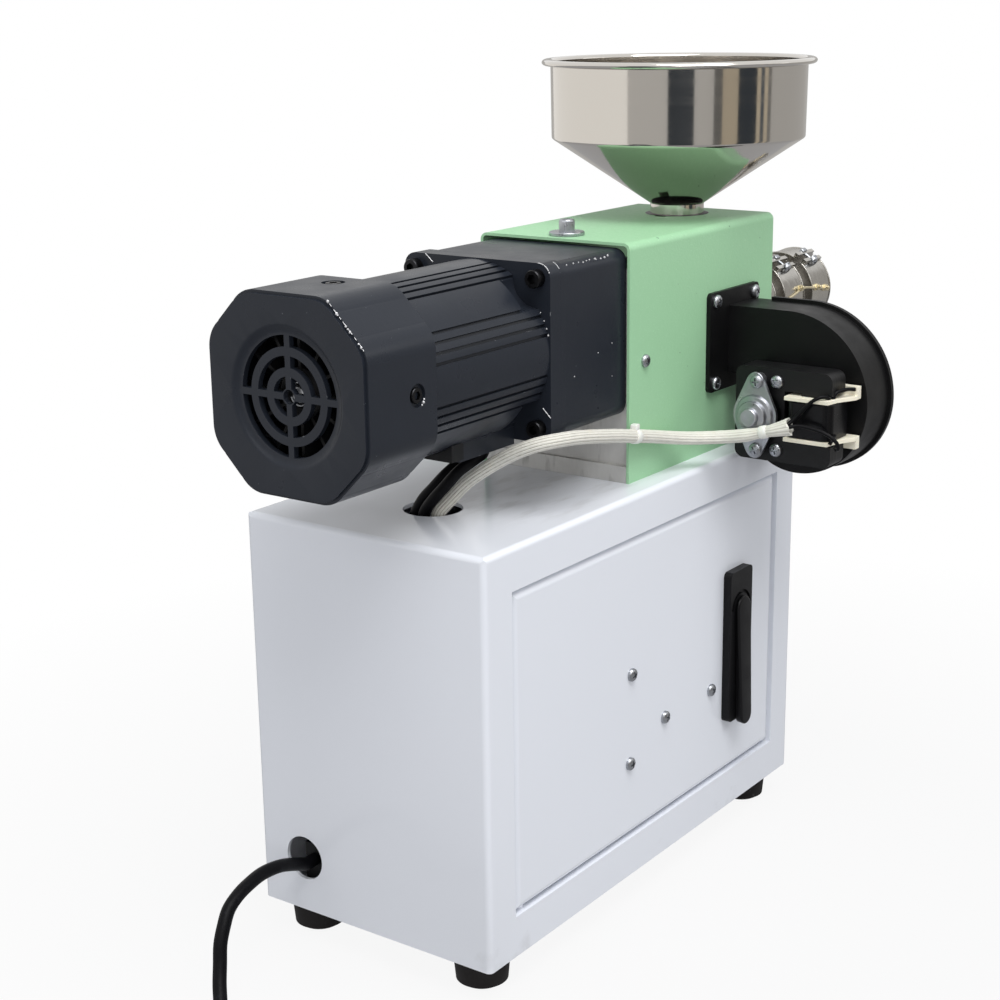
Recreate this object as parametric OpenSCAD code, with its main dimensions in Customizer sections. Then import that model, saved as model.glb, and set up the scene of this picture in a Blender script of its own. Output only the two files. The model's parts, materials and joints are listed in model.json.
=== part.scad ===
// Desktop single screw extruder: a sheet steel cabinet on rubber feet carries a gear motor, a folded
// feed housing with a hopper, a heated barrel and a small cooling blower.
// Millimetres. +Z is up, +X runs from the motor to the die, and the door faces -Y.
// Inside the modules x = 0 is the motor-end wall, y = 0 the door side and z = 0 the cabinet's underside.

/* [Cabinet] */
// Length of the cabinet, from its motor end to its die end
cabinet_l = 314; // [290:1:380]
// Width of the cabinet, from the door side to the control side
cabinet_w = 150; // [140:1:200]
// Height of the cabinet above its feet
cabinet_h = 215; // [200:1:280]
// Thickness of the cabinet's sheet steel
wall_t = 2; // [1.6:0.1:3]
// Outside radius of the cabinet's bent edges
bend_r = 3; // [2.5:0.5:5]
// Diameter of the cable hole in the top
cable_hole_d = 31; // [26:1:36]
// Diameter of the hole for the mains lead
cord_hole_d = 24; // [18:1:30]

/* [Feet] */
// Height of a rubber foot
foot_h = 18; // [10:1:30]
// Diameter of a foot where it meets the cabinet
foot_top_d = 30; // [24:1:36]
// Diameter of a foot at the floor
foot_base_d = 25; // [20:1:32]
// Distance of a foot's centre from the cabinet's sides
foot_inset = 20.5; // [18:0.5:30]

/* [Door] */
// Width of the frame round the doorway
frame_w = 22; // [18:1:30]
// Depth of the frame's and the door's turned-in edges
return_d = 12; // [11:0.5:16]
// Gap between the door and its frame
door_gap = 1.6; // [1.2:0.1:3]
// Thickness of the door's sheet
door_t = 1.5; // [1:0.1:2.5]
// Outside radius of the door's bent edges
door_r = 4; // [3:0.5:5]
// Diameter of the door's pivot pins
pivot_d = 5; // [4:0.5:6]

/* [Handle] */
// Width of the handle's base plate
handle_w = 25; // [22:1:32]
// Height of the handle's base plate
handle_h = 91; // [80:1:120]
// Thickness of the handle's base plate
handle_t = 5; // [3:0.5:8]
// Width of the lever, and the diameter of its round end
lever_w = 18; // [14:1:20]
// Length of the lever
lever_l = 81; // [70:1:90]
// Thickness of the lever
lever_t = 6; // [4:0.5:10]

/* [Feed housing] */
// Length of the folded housing
housing_l = 157; // [150:1:200]
// Width of the housing
housing_w = 95; // [94:1:120]
// Height of the housing
housing_h = 127.5; // [126:0.5:150]
// Thickness of the housing's sheet
housing_t = 1.5; // [1:0.1:2]
// Outside radius of the housing's bends
housing_r = 4; // [2.5:0.5:6]
// Setback of the housing from the cabinet's die end
housing_setback = 6.5; // [2:0.5:12]
// Diameter of the hopper's hole in the housing
throat_hole_d = 36; // [34:1:44]

/* [Gear motor] */
// Distance of the machine's axis from the door side
axis_y = 62.5; // [55:0.5:75]
// Height of the motor's axis above the cabinet
motor_rise = 80.5; // [70:0.5:84]
// Width of the square gearbox
gear_w = 88; // [80:1:90]
// Length of the gearbox
gear_l = 60; // [50:1:70]
// Corner radius of the gearbox
gear_r = 7; // [4:1:12]
// Width of the square joint flanges
flange_w = 90; // [84:1:92]
// Diameter of the motor's body
motor_d = 89; // [76:1:90]
// Length of the motor's body between its flange and the fan cover
motor_l = 94; // [80:1:110]
// Width across the flats of the fan cover
cover_w = 94; // [90:1:104]
// Length of the fan cover
cover_l = 49; // [40:1:60]
// Cut of the fan cover's corners
cover_cut = 22.5; // [18:0.5:26]
// Wall of the fan cover
cover_t = 2.5; // [2:0.1:4]
// Diameter of the grille
grille_d = 56; // [50:1:60]
// Diameter of the cooling fan
fan_d = 76; // [60:1:80]

/* [Hopper] */
// Diameter of the hopper's upright band
hopper_d = 146; // [120:1:160]
// Height of the hopper's upright band
hopper_band_h = 42.5; // [30:1:60]
// Height of the hopper's cone
hopper_cone_h = 37.5; // [30:1:60]
// Diameter of the hopper's neck
neck_d = 31; // [28:1:33]
// Thickness of the hopper's sheet
hopper_t = 1.2; // [0.8:0.1:2]
// Diameter of the rolled rim
rim_d = 5.6; // [3:0.1:7]
// Setback of the hopper's axis from the housing's die end
hopper_setback = 29; // [24:0.5:34]

/* [Barrel] */
// Drop of the barrel's axis below the motor's axis
shaft_drop = 16; // [10:0.5:20]
// Outside diameter of the barrel
barrel_d = 38; // [34:1:42]
// Outside diameter of a heater band
band_d = 49; // [46:1:56]
// Width of a heater band
band_w = 26; // [24:1:32]
// Pitch of the heater bands along the barrel
band_pitch = 37; // [34:1:40]
// Length of the barrel beyond the cabinet's die end
barrel_over = 119; // [112:1:140]
// Diameter of the die
die_d = 30; // [24:1:36]
// Length of the die
die_l = 14; // [8:1:18]
// Diameter of the die's hole
die_hole_d = 3; // [2:0.5:6]

/* [Blower] */
// Largest radius of the blower's scroll
scroll_r = 49; // [44:0.5:52]
// Loss of radius with each quarter turn of the scroll
scroll_step = 7; // [6:0.5:8]
// Thickness of the scroll along its axis
scroll_w = 30; // [26:1:36]
// Width of the square outlet flange
outlet_flange_w = 56; // [54:1:60]
// Height of the square outlet duct
duct_h = 38; // [30:1:40]
// Thickness of the motor's iron core
core_w = 16; // [12:1:18]

/* [Leads] */
// Diameter of the mains lead
lead_d = 7; // [6:0.1:8]
// Diameter of a motor lead
motor_lead_d = 6; // [4:0.1:6.4]
// Diameter of the braided sleeve
sleeve_d = 7; // [5:0.1:7.4]

/* [Hidden] */
$fn = 64;
// Overrun of every cut past the face that it opens
over = 1;
// Running clearance of a pin in its hole
running = 0.05;
// Gap between pieces that pass close by each other
slack = 0.3;

// Heights and places on the main axis
motor_z = cabinet_h + motor_rise;
barrel_z = motor_z - shaft_drop;
housing_x = cabinet_l - housing_setback - housing_l;
housing_y = axis_y - housing_w / 2;
housing_top = cabinet_h + housing_h;
flange_t = 9;
lip_t = 4;
gear_x = housing_x - gear_l;
motor_x = gear_x - flange_t - motor_l;
cover_x = motor_x - cover_l;
barrel_end = cabinet_l + barrel_over;
die_end = barrel_end + die_l;
hopper_x = housing_x + housing_l - hopper_setback;
scroll_setback = 55.5;
scroll_reach = 39.5;
scroll_rise = 81.5;
scroll_x = housing_x + housing_l - scroll_setback;
scroll_y = housing_y - scroll_reach;
scroll_top = cabinet_h + scroll_rise;
scroll_z = scroll_top - scroll_r;
lip_proud = 2;

// Shift of the machine that brings the middle of its footprint to the origin
mid_x = (cover_x + die_end) / 2;
mid_y = (cabinet_w + scroll_y - scroll_r - lip_proud) / 2;

// Cabinet details
cable_hole_share = 0.3754;
cable_hole_off = 11;
cable_hole_at = [housing_x * cable_hole_share, axis_y + cable_hole_off];
cord_hole_back = 29.5;
cord_hole_rise = 30;
cord_hole_at = [cabinet_w - cord_hole_back, cord_hole_rise];
clip_x = 6;
clip_back = 32;
clip_y = cabinet_w - clip_back;
clip_w = 14;
clip_t = 8;
clip_low = 6;
clip_foot_h = 9;
clip_high = 36;
clip_hold_z = 28;

// Door details: the door fills the doorway inside the frame, less the gap
door_l = cabinet_l - 2 * frame_w - 2 * door_gap;
door_h = cabinet_h - 2 * frame_w - 2 * door_gap;
door_x = frame_w + door_gap;
door_z = frame_w + door_gap;
door_recess = 0.8;
door_d = return_d - door_recess;
pivot_edge = 8.5;
pivot_x = door_x + pivot_edge;
pivot_y = door_recess + pivot_d;
pivot_reach = 5;

// Handle details
handle_end = 48.5;
handle_x = cabinet_l - frame_w - handle_end;
handle_z = 55.5;
handle_corner = 3;
lever_gap = 0.8;
lever_drop = 4.5;
lever_pivot_z = handle_z - lever_drop + lever_l - lever_w / 2;
lever_y = door_recess - handle_t - lever_gap;
lever_hub_d = 9;
lever_tip_w = 15;
hub_groove_w = 2;
hub_groove_d = 1.5;
lever_dish_d = 1.2;
lever_dish_margin = 3;

// Block details
block_w = housing_w - 2 * housing_t - 2 * slack;
block_base_h = 9;
block_step = 2.5;
block_l = 38;
upright_gap = 12;
upright_h = housing_h - housing_t - upright_gap;
block_front = housing_x + block_step;
feed_end = cabinet_l - slack;
feed_w = 56;
feed_h = 56;
throat_d = 26;
throat_depth = 18;

// Housing details
housing_notch_w = 8;
housing_notch_d = 3;
housing_bolt_inset = 13;
housing_bolt_x = housing_x + housing_bolt_inset;
housing_bolt_d = 8.5;
housing_bolt_h = 6.5;
washer_d = 19;
washer_t = 2;
bolt_socket_d = 5;
bolt_socket_h = 3.5;

// Gear motor details
lug_pcd = 104;
relief_d = 28;
relief_l = 13.5;
pad_w = 45;
pad_drop = 47.5;
pad_gap = 48;
pilot_d = 73;
groove_groups = 8;
grooves_in_group = 4;
groove_pitch_deg = 6.2;
groove_w = 1.6;
groove_d = 1.6;
cover_face_t = 3;
cover_edge = 1.5;
cover_corner_r = 16;
cover_pocket_d = 11;
cover_pocket_depth = 1.5;
cover_pocket_x = 35;
dish_d = 67;
dish_floor_d = 60;
dish_depth = 2.2;
slot_w = 5.3;
slot_pitch = 9.4;
slot_rings = 3;
spoke_w = 3.2;
hub_hole_d = 6.6;
fan_x_gap = 5;
fan_w = 18;
fan_plate_t = 2;
fan_hub_d = 24;
fan_bore_d = 10;
fan_centre_d = 9;
fan_blades = 12;
fan_blade_t = 1.6;
bearing_depth = 12;
outlet_l = 9.5;
outlet_w = 20;
outlet_h = 11.7;
outlet_gap = 38;
outlet_off = 25.5;
outlet_drop = 45.2;

// Hopper details
neck_seat = 6;
hopper_z = housing_top + neck_seat;
hopper_rim_z = hopper_z + hopper_cone_h + hopper_band_h;
neck_bottom = barrel_z + feed_h / 2 - throat_depth;

// Heater band details
band_slit = 4;
band_ear_h = 2.5;
band_ear_t = 2.5;
band_ear_w = 22;
band_split_deg = 124;
band_gap = 0.2;
band_front_x = barrel_end - band_w;
die_seat_d = 20;

// Blower details
duct_w = scroll_w;
flange_plate_t = 2.5;
outlet_flange_off = 8;
outlet_z = scroll_top - duct_h / 2;
duct_wall = 2;
near_lip_t = 3;
intake_d = 46;
intake_depth = 12;
rotor_reach = 36;
rotor_rise = 28;
rotor_y = housing_y - rotor_reach;
rotor_z = cabinet_h + rotor_rise;
core_h = 52;
core_head_w = 30;
core_arm_h = 12;
core_arm_l = 28;
core_leg_w = 12;
core_leg_off = 10;
core_stand = 8;
core_stand_d = 8;
core_screw_span = 38;
core_x = scroll_x - core_stand - core_w;
core_corner = 5;
rotor_bore_d = 26;
bracket_stand = 4;
bracket_t = 2;
bracket_x = core_x - bracket_stand - bracket_t;
bracket_h = 47;
bracket_w = 26;
bracket_screw_span = 38;
bracket_tip_r = 5;
bracket_post_r = 4;
bracket_waist_r = 13;
boss_d = [22, 17, 10];
boss_l = [2, 3, 3];
bobbin_gap = 1.5;
bobbin_h = core_h - 2 * core_arm_h - 2 * bobbin_gap;
bobbin_outline = [[-13, 14], [13, 14], [13, -19], [7, -19], [-4, -13.5], [-13, -12]];
bobbin_tab = [4.5, 13, 7];
bobbin_tab_at = [8.5, -19];
bobbin_flange_t = 2.2;
bobbin_tube_t = 1;
coil_t = 6;
coil_gap = 0.2;

// Routes of the leads, as points chosen by hand on a grid of one size. On top of the cabinet each run of a
// lead has its points at shares of the way between two places along the machine, and is measured from a line
// across it and from the cabinet's top. The mains lead is measured from the floor under the control side.
route_grid = 10;
function run(from, to, line, shares, across, up) = [
    for (k = [0 : len(shares) - 1])
        [from + shares[k] * (to - from), line + across[k] * route_grid, cabinet_h + up[k] * route_grid]
];
function from_floor(p) = [for (q = p) [q.x, cabinet_w - q.y, q.z - foot_h]];
lead_top = cabinet_h + motor_rise - pad_drop - slack;
lead_run = 1.5;
lead_a_at = [housing_x - 8.37 * route_grid, axis_y - 0.42 * route_grid];
lead_b_at = [housing_x - 8.43 * route_grid, axis_y - 1.44 * route_grid];
lead_a_end = cable_hole_at.x - 0.76 * route_grid;
lead_b_end = cable_hole_at.x - 0.91 * route_grid;
motor_route_a = concat(
    [[lead_a_at.x, lead_a_at.y, lead_top], [lead_a_at.x, lead_a_at.y, lead_top - lead_run]],
    run(lead_a_at.x, lead_a_end, axis_y, [0.039, 0.151, 0.341, 0.603, 0.788, 0.939, 0.989, 1],
        [-0.37, -0.24, -0.05, 0.3, 0.7, 1.15, 1.55, 1.7],
        [2.86, 2.58, 2.29, 1.82, 1.26, 0.68, 0.01, -0.45])
);
motor_route_b = concat(
    [[lead_b_at.x, lead_b_at.y, lead_top], [lead_b_at.x, lead_b_at.y, lead_top - lead_run]],
    run(lead_b_at.x, lead_b_end, axis_y, [0.048, 0.181, 0.399, 0.654, 0.856, 1.011, 1.032, 1],
        [-1.39, -1.27, -1.09, -0.72, -0.2, 0.35, 0.85, 1.01],
        [2.97, 2.83, 2.61, 2.19, 1.48, 0.78, 0.12, -0.45])
);
sleeve_start = cable_hole_at.x - 0.3 * route_grid;
sleeve_turn = housing_x - 7.3 * route_grid;
sleeve_route = concat(
    run(sleeve_start, sleeve_turn, axis_y, [0, 0.021, 0.229, 0.346, 0.4, 0.488, 0.55, 0.671, 1],
        [0.55, 0.45, 0.04, -0.67, -1.48, -2.38, -3.36, -4.35, -5],
        [-0.4, 0.02, 0.68, 1.48, 2.12, 2.73, 3.3, 3.74, 3.89]),
    run(sleeve_turn, housing_x, housing_y, [0.245, 0.649, 0.864], [-0.5, -0.47, -0.4], [3.74, 3.21, 2.88]),
    run(housing_x, bracket_x, housing_y, [0.077, 0.28, 0.452, 0.593, 0.687, 0.811, 0.843, 0.863, 0.87, 0.892],
        [-0.39, -0.42, -0.6, -0.95, -1.5, -2.55, -3.65, -4.6, -5.35, -6.1],
        [2.56, 2.24, 1.97, 1.78, 1.72, 1.73, 1.91, 2.17, 2.39, 2.62])
);
lead_rest = lead_d / 2 + slack / 2;
clip_rise = foot_h + clip_hold_z;
mains_route = from_floor(concat(
    [[clip_x, clip_back, clip_rise], [wall_t, clip_back, clip_rise], [-wall_t, clip_back, clip_rise]],
    route_grid * [
        [-1.2, 3.2, 5], [-2.4, 3.3, 5.4], [-3.6, 3.3, 5.5], [-4.7, 3.4, 5.4], [-5.6, 3.5, 5.2],
        [-6.4, 3.6, 4.8], [-7, 3.8, 4.2], [-7.5, 4, 3.5], [-7.9, 4.3, 2.7], [-8.4, 4.7, 1.9],
        [-9, 5.3, 1.1], [-9.7, 6, 0.63], [-10.55, 6.8, 0.42]
    ],
    [for (q = route_grid * [[-11.5, 7.75], [-12.47, 8.81], [-13.45, 9.89], [-14.43, 10.98]])
        [q.x, q.y, lead_rest]]
));
coil_x = -110;
coil_back = 140;
coil_at = [coil_x, cabinet_w - coil_back];
coil_mid_d = 77;
coil_pitch = 7.2;
coil_columns = 3;
coil_layers = 2;
coil_w = coil_columns * coil_pitch;
coil_h = coil_layers * coil_pitch;
floor_z = -foot_h;
plug_lead = 26;
plug_at = coil_at + [plug_lead, -(coil_mid_d + coil_w - coil_pitch) / 2];
plug_l = 36;
plug_w = 33;
plug_h = 17;
plug_tail_l = 26;
plug_tail_d = 10;
plug_tail_wall = 0.5;
plug_corner = 6;
plug_pin_l = 18;
plug_pin_w = 6;
plug_pin_t = 1.6;
plug_pin_span = 13;
plug_pin_turn = 30;

// Moves the machine so that the middle of its footprint stands at the origin
module machine() {
    translate([-mid_x, -mid_y, foot_h]) children();
}

// Turns a profile drawn in Y and Z so that it is extruded along +X from x
module along_x(x) {
    translate([x, 0, 0]) rotate([90, 0, 90]) children();
}

// Turns a profile drawn in X and Z so that it is extruded along -Y from y
module along_door(y) {
    translate([0, y, 0]) rotate([90, 0, 0]) children();
}

// Rectangle with round corners
module round_rect(w, h, r) {
    translate([r, 0]) square([w - 2 * r, h]);
    translate([0, r]) square([w, h - 2 * r]);
    for (x = [r, w - r], y = [r, h - r]) translate([x, y]) circle(r);
}

// Cutter that rounds an edge along Z at the origin of a body lying in +X +Y
module edge_cutter(l, r) {
    translate([0, 0, -over]) linear_extrude(l + 2 * over) difference() {
        translate([-over, -over]) square(r + over);
        translate([r, r]) circle(r);
    }
}

// Cutters for the four upright edges and the four top edges of a box
module box_edges(l, w, h, r) {
    for (mx = [0, 1], my = [0, 1])
        translate([mx * l, my * w, 0]) mirror([mx, 0, 0]) mirror([0, my, 0]) edge_cutter(h, r);
    for (my = [0, 1])
        translate([0, my * w, h]) mirror([0, my, 0]) mirror([0, 0, 1])
            rotate([90, 0, 90]) edge_cutter(l, r);
    for (mx = [0, 1])
        translate([mx * l, w, h]) mirror([mx, 0, 0]) mirror([0, 0, 1])
            rotate([90, 0, 0]) edge_cutter(w, r);
}

// Tube swept along points, with its frame carried from ring to ring
function unit(v) = v / norm(v);
function tangent(p, i) = unit(p[min(i + 1, len(p) - 1)] - p[max(i - 1, 0)]);
function level(n, t) = unit(n - (n * t) * t);
function normals(p, i, n) =
    i == len(p) ? [] : let (m = level(n, tangent(p, i))) concat([m], normals(p, i + 1, m));
function blend_at(a, b, c, d, t) =
    b + t * ((c - a) / 2 + t * ((2 * a - 5 * b + 4 * c - d) / 2 + t * (3 * b - a - 3 * c + d) / 2));
function smooth(p, steps) = concat(
    [for (i = [0 : len(p) - 2], s = [0 : steps - 1])
        blend_at(p[max(i - 1, 0)], p[i], p[i + 1], p[min(i + 2, len(p) - 1)], s / steps)],
    [p[len(p) - 1]]);
module tube(p, d, sides) {
    n = normals(p, 0, [0, 1, 0]);
    rings = len(p);
    points = [for (i = [0 : rings - 1], k = [0 : sides - 1])
        let (b = cross(tangent(p, i), n[i]), a = 360 * k / sides)
            p[i] + d / 2 * (cos(a) * n[i] + sin(a) * b)];
    walls = [for (i = [0 : rings - 2], k = [0 : sides - 1])
        [i * sides + k, (i + 1) * sides + k,
            (i + 1) * sides + (k + 1) % sides, i * sides + (k + 1) % sides]];
    first = [for (k = [0 : sides - 1]) k];
    last = [for (k = [sides - 1 : -1 : 0]) (rings - 1) * sides + k];
    polyhedron(points, concat([first, last], walls));
}

// Cabinet: slabs with the bent outer edges cut round
module cabinet_slab(low, high) {
    machine() difference() {
        translate(low) cube(high - low);
        box_edges(cabinet_l, cabinet_w, cabinet_h, bend_r);
    }
}

module cabinet_top() {
    color("#e4e6ec") difference() {
        cabinet_slab([0, 0, cabinet_h - wall_t], [cabinet_l, cabinet_w, cabinet_h]);
        machine() translate([cable_hole_at.x, cable_hole_at.y, cabinet_h - wall_t - over])
            cylinder(d = cable_hole_d, h = wall_t + 2 * over);
    }
}

module cabinet_base() {
    color("#d8dae2")
        cabinet_slab([wall_t, wall_t, 0], [cabinet_l - wall_t, cabinet_w - wall_t, wall_t]);
}

module end_wall_motor() {
    color("#d0d3da") difference() {
        cabinet_slab([0, 0, 0], [wall_t, cabinet_w, cabinet_h - wall_t]);
        machine() along_x(-over) translate(cord_hole_at)
            cylinder(d = cord_hole_d, h = wall_t + 2 * over);
    }
}

module end_wall_die() {
    color("#d0d3da")
        cabinet_slab([cabinet_l - wall_t, 0, 0], [cabinet_l, cabinet_w, cabinet_h - wall_t]);
}

module control_wall() {
    color("#d8dae2") cabinet_slab([wall_t, cabinet_w - wall_t, 0],
        [cabinet_l - wall_t, cabinet_w, cabinet_h - wall_t]);
}

module stile_motor() {
    color("#dcdfe7") {
        cabinet_slab([wall_t, 0, 0], [frame_w, wall_t, cabinet_h - wall_t]);
        cabinet_slab([frame_w - wall_t, wall_t, frame_w], [frame_w, return_d, cabinet_h - frame_w]);
    }
}

module stile_die() {
    color("#dcdfe7") {
        cabinet_slab([cabinet_l - frame_w, 0, 0], [cabinet_l - wall_t, wall_t, cabinet_h - wall_t]);
        cabinet_slab([cabinet_l - frame_w, wall_t, frame_w],
            [cabinet_l - frame_w + wall_t, return_d, cabinet_h - frame_w]);
    }
}

// Rail over or under the doorway, with the hole that the door's pivot turns in
module rail(z, lip_z) {
    difference() {
        union() {
            cabinet_slab([frame_w, 0, z], [cabinet_l - frame_w, wall_t, z + frame_w]);
            cabinet_slab([frame_w, wall_t, lip_z], [cabinet_l - frame_w, return_d, lip_z + wall_t]);
        }
        machine() translate([pivot_x, pivot_y, lip_z - over])
            cylinder(d = pivot_d + 2 * running, h = wall_t + 2 * over);
    }
}

module rail_top() {
    color("#dcdfe7") difference() {
        rail(cabinet_h - frame_w, cabinet_h - frame_w);
        machine() translate([0, 0, cabinet_h - wall_t]) cube([cabinet_l, cabinet_w, wall_t + over]);
    }
}

module rail_bottom() {
    color("#dcdfe7") rail(0, frame_w - wall_t);
}

// Clip inside the end wall that holds the mains lead behind its hole
module cord_clip() {
    color("#202124") machine() translate([0, clip_y + clip_w / 2, 0]) along_door(0) linear_extrude(clip_w) {
        translate([wall_t, clip_low]) square([clip_x + clip_t - wall_t, clip_foot_h]);
        translate([clip_x, clip_low]) square([clip_t, clip_high - clip_low]);
    }
}

module rubber_feet() {
    foot_edge = 2;
    profile = [
        [0, 0], [foot_top_d / 2, 0], [foot_base_d / 2 + foot_edge / 2, foot_edge - foot_h],
        [foot_base_d / 2 - foot_edge, -foot_h], [0, -foot_h]
    ];
    color("#1c1c1e") machine()
        for (x = [foot_inset, cabinet_l - foot_inset], y = [foot_inset, cabinet_w - foot_inset])
            translate([x, y, 0]) rotate_extrude() polygon(profile);
}

// Door: a folded pan with bent edges all round, carried on two pivot pins
module door_panel() {
    color("#dadde6") machine() {
        difference() {
            intersection() {
                translate([door_x, door_recess, door_z]) linear_extrude(door_h) door_section(door_l);
                translate([door_x, door_recess, door_z]) rotate([90, 0, 90])
                    linear_extrude(door_l) door_section_upright(door_h);
            }
            translate([door_x + door_t, door_recess + door_t, door_z + door_t])
                cube([door_l - 2 * door_t, door_d, door_h - 2 * door_t]);
        }
        for (z = [door_z - pivot_reach, door_z + door_h - door_t])
            translate([pivot_x, pivot_y, z]) cylinder(d = pivot_d, h = pivot_reach + door_t);
    }
}

module door_section(l) {
    translate([0, door_r]) square([l, door_d - door_r]);
    translate([door_r, 0]) square([l - 2 * door_r, door_d]);
    for (x = [door_r, l - door_r]) translate([x, door_r]) circle(door_r);
}

module door_section_upright(h) {
    translate([door_r, 0]) square([door_d - door_r, h]);
    translate([0, door_r]) square([door_d, h - 2 * door_r]);
    for (z = [door_r, h - door_r]) translate([door_r, z]) circle(door_r);
}

module handle_base() {
    color("#161618") machine() difference() {
        along_door(door_recess) translate([handle_x - handle_w / 2, handle_z])
            linear_extrude(handle_t) round_rect(handle_w, handle_h, handle_corner);
        along_door(door_recess + over) translate([handle_x, lever_pivot_z])
            cylinder(d = lever_hub_d + 2 * running, h = handle_t + 2 * over);
        along_door(door_recess - handle_t + hub_groove_d) translate([handle_x, lever_pivot_z])
            linear_extrude(hub_groove_d + over) difference() {
                circle(d = lever_w + 2 * hub_groove_w);
                circle(d = lever_w);
                translate([-lever_w, -2 * lever_w]) square(2 * lever_w);
            }
    }
}

// Lever: turns on its hub, standing clear of the base plate
module handle_lever() {
    lever_end_z = lever_pivot_z - lever_l + lever_w / 2;
    tip_r = lever_tip_w / 4;
    color("#1a1a1c") machine() {
        along_door(door_recess - slack) translate([handle_x, lever_pivot_z])
            cylinder(d = lever_hub_d, h = lever_gap + handle_t - slack);
        difference() {
            along_door(lever_y) linear_extrude(lever_t) {
                translate([handle_x, lever_pivot_z]) circle(d = lever_w);
                polygon([
                    [handle_x - lever_w / 2, lever_pivot_z], [handle_x + lever_w / 2, lever_pivot_z],
                    [handle_x + lever_tip_w / 2, lever_end_z + tip_r],
                    [handle_x - lever_tip_w / 2, lever_end_z + tip_r]
                ]);
                translate([handle_x - lever_tip_w / 2 + tip_r, lever_end_z])
                    square([lever_tip_w - 2 * tip_r, 2 * tip_r]);
                for (x = [tip_r - lever_tip_w / 2, lever_tip_w / 2 - tip_r])
                    translate([handle_x + x, lever_end_z + tip_r]) circle(tip_r);
            }
            along_door(lever_y - lever_t + lever_dish_d) translate([handle_x, lever_pivot_z])
                cylinder(d = lever_w - 2 * lever_dish_margin, h = lever_dish_d + over);
        }
    }
}

// Milled block under and behind the gearbox
module block_base() {
    color("#a9a9a6") machine() translate([housing_x, axis_y - block_w / 2, cabinet_h])
        cube([block_l + block_step, block_w, block_base_h]);
}

module block_upright() {
    color("#adadaa") machine() difference() {
        translate([block_front, axis_y - block_w / 2, cabinet_h + block_base_h])
            cube([block_l, block_w, upright_h - block_base_h]);
        along_x(block_front - over) translate([axis_y, barrel_z])
            cylinder(d = pilot_d / 2, h = block_l / 2 + over);
    }
}

// Rear end of the barrel, square outside, with the throat under the hopper
module feed_block() {
    color("#9c9c9a") machine() difference() {
        translate([block_front + block_l, axis_y - feed_w / 2, barrel_z - feed_h / 2])
            cube([feed_end - block_front - block_l, feed_w, feed_h]);
        translate([hopper_x, axis_y, barrel_z + feed_h / 2 - throat_depth])
            cylinder(d = neck_d + 2 * slack, h = throat_depth + over);
        translate([hopper_x, axis_y, barrel_z]) cylinder(d = throat_d, h = feed_h / 2);
    }
}

// Folded housing: one sheet over the block, with the hopper's hole and the blower's duct hole
module housing_cover() {
    outer = [housing_w, housing_h];
    inner = [housing_w - 2 * housing_t, housing_h - housing_t];
    color("#a6d3ab") machine() difference() {
        along_x(housing_x) translate([housing_y, cabinet_h]) linear_extrude(housing_l) difference() {
            folded_arch(outer.x, outer.y, housing_r);
            translate([housing_t, -over]) folded_arch(inner.x, inner.y + over, housing_r - housing_t);
        }
        translate([hopper_x, axis_y, housing_top - housing_t - over]) {
            cylinder(d = throat_hole_d, h = housing_t + 2 * over);
            translate([-throat_hole_d / 2 - housing_notch_d, -housing_notch_w / 2, 0])
                cube([throat_hole_d + 2 * housing_notch_d, housing_notch_w, housing_t + 2 * over]);
        }
        translate([scroll_x + duct_wall, housing_y - over, outlet_z - duct_h / 2 + duct_wall])
            cube([scroll_w - 2 * duct_wall, housing_t + 2 * over, duct_h - 2 * duct_wall]);
    }
}

// Upright rectangle with round top corners
module folded_arch(w, h, r) {
    square([w, h - r]);
    translate([r, 0]) square([w - 2 * r, h]);
    for (x = [r, w - r]) translate([x, h - r]) circle(r);
}

module housing_bolt() {
    color("#b9b9b6") machine() translate([housing_bolt_x, axis_y, housing_top]) difference() {
        union() {
            cylinder(d = washer_d, h = washer_t);
            cylinder(d = housing_bolt_d, h = washer_t + housing_bolt_h);
        }
        translate([0, 0, washer_t + housing_bolt_h - bolt_socket_h])
            cylinder(d = bolt_socket_d, h = bolt_socket_h + over, $fn = 6);
    }
}

// Gear motor along the machine's axis
module on_motor(x) {
    along_x(x) translate([axis_y, motor_z]) children();
}

module centred_round_square(w, r) {
    translate([-w / 2, -w / 2]) round_rect(w, w, r);
}

module gearbox() {
    color("#3a3e44") machine() {
        on_motor(gear_x) linear_extrude(gear_l + block_step) centred_round_square(gear_w, gear_r);
        on_motor(gear_x) linear_extrude(lip_t) centred_round_square(flange_w, gear_r);
    }
}

// End shield of the motor: a square plate that takes a bolt at each corner
module motor_flange() {
    color("#34383e") machine() on_motor(gear_x - flange_t)
        linear_extrude(flange_t) centred_round_square(flange_w, gear_r);
}

// Motor body with eight groups of cooling grooves along it, reliefs for the corner bolts and a flat pad below
module motor_body() {
    first = -(grooves_in_group - 1) / 2;
    color("#3c4046") machine() on_motor(motor_x) difference() {
        union() {
            linear_extrude(motor_l) difference() {
                circle(d = motor_d);
                for (g = [0 : groove_groups - 1], k = [0 : grooves_in_group - 1])
                    rotate((g + 1 / 2) * 360 / groove_groups + (first + k) * groove_pitch_deg)
                        translate([motor_d / 2 - groove_d, -groove_w / 2])
                            square([groove_d + over, groove_w]);
            }
            translate([-pad_w / 2, -pad_drop, pad_gap]) cube([pad_w, pad_drop, motor_l - pad_gap]);
        }
        translate([0, 0, -over]) cylinder(d = fan_bore_d + 2 * running, h = bearing_depth + over);
        for (a = [45 : 90 : 315]) rotate(a) translate([lug_pcd / 2, 0, motor_l - relief_l])
            cylinder(d = relief_d, h = relief_l + over);
    }
}

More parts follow.
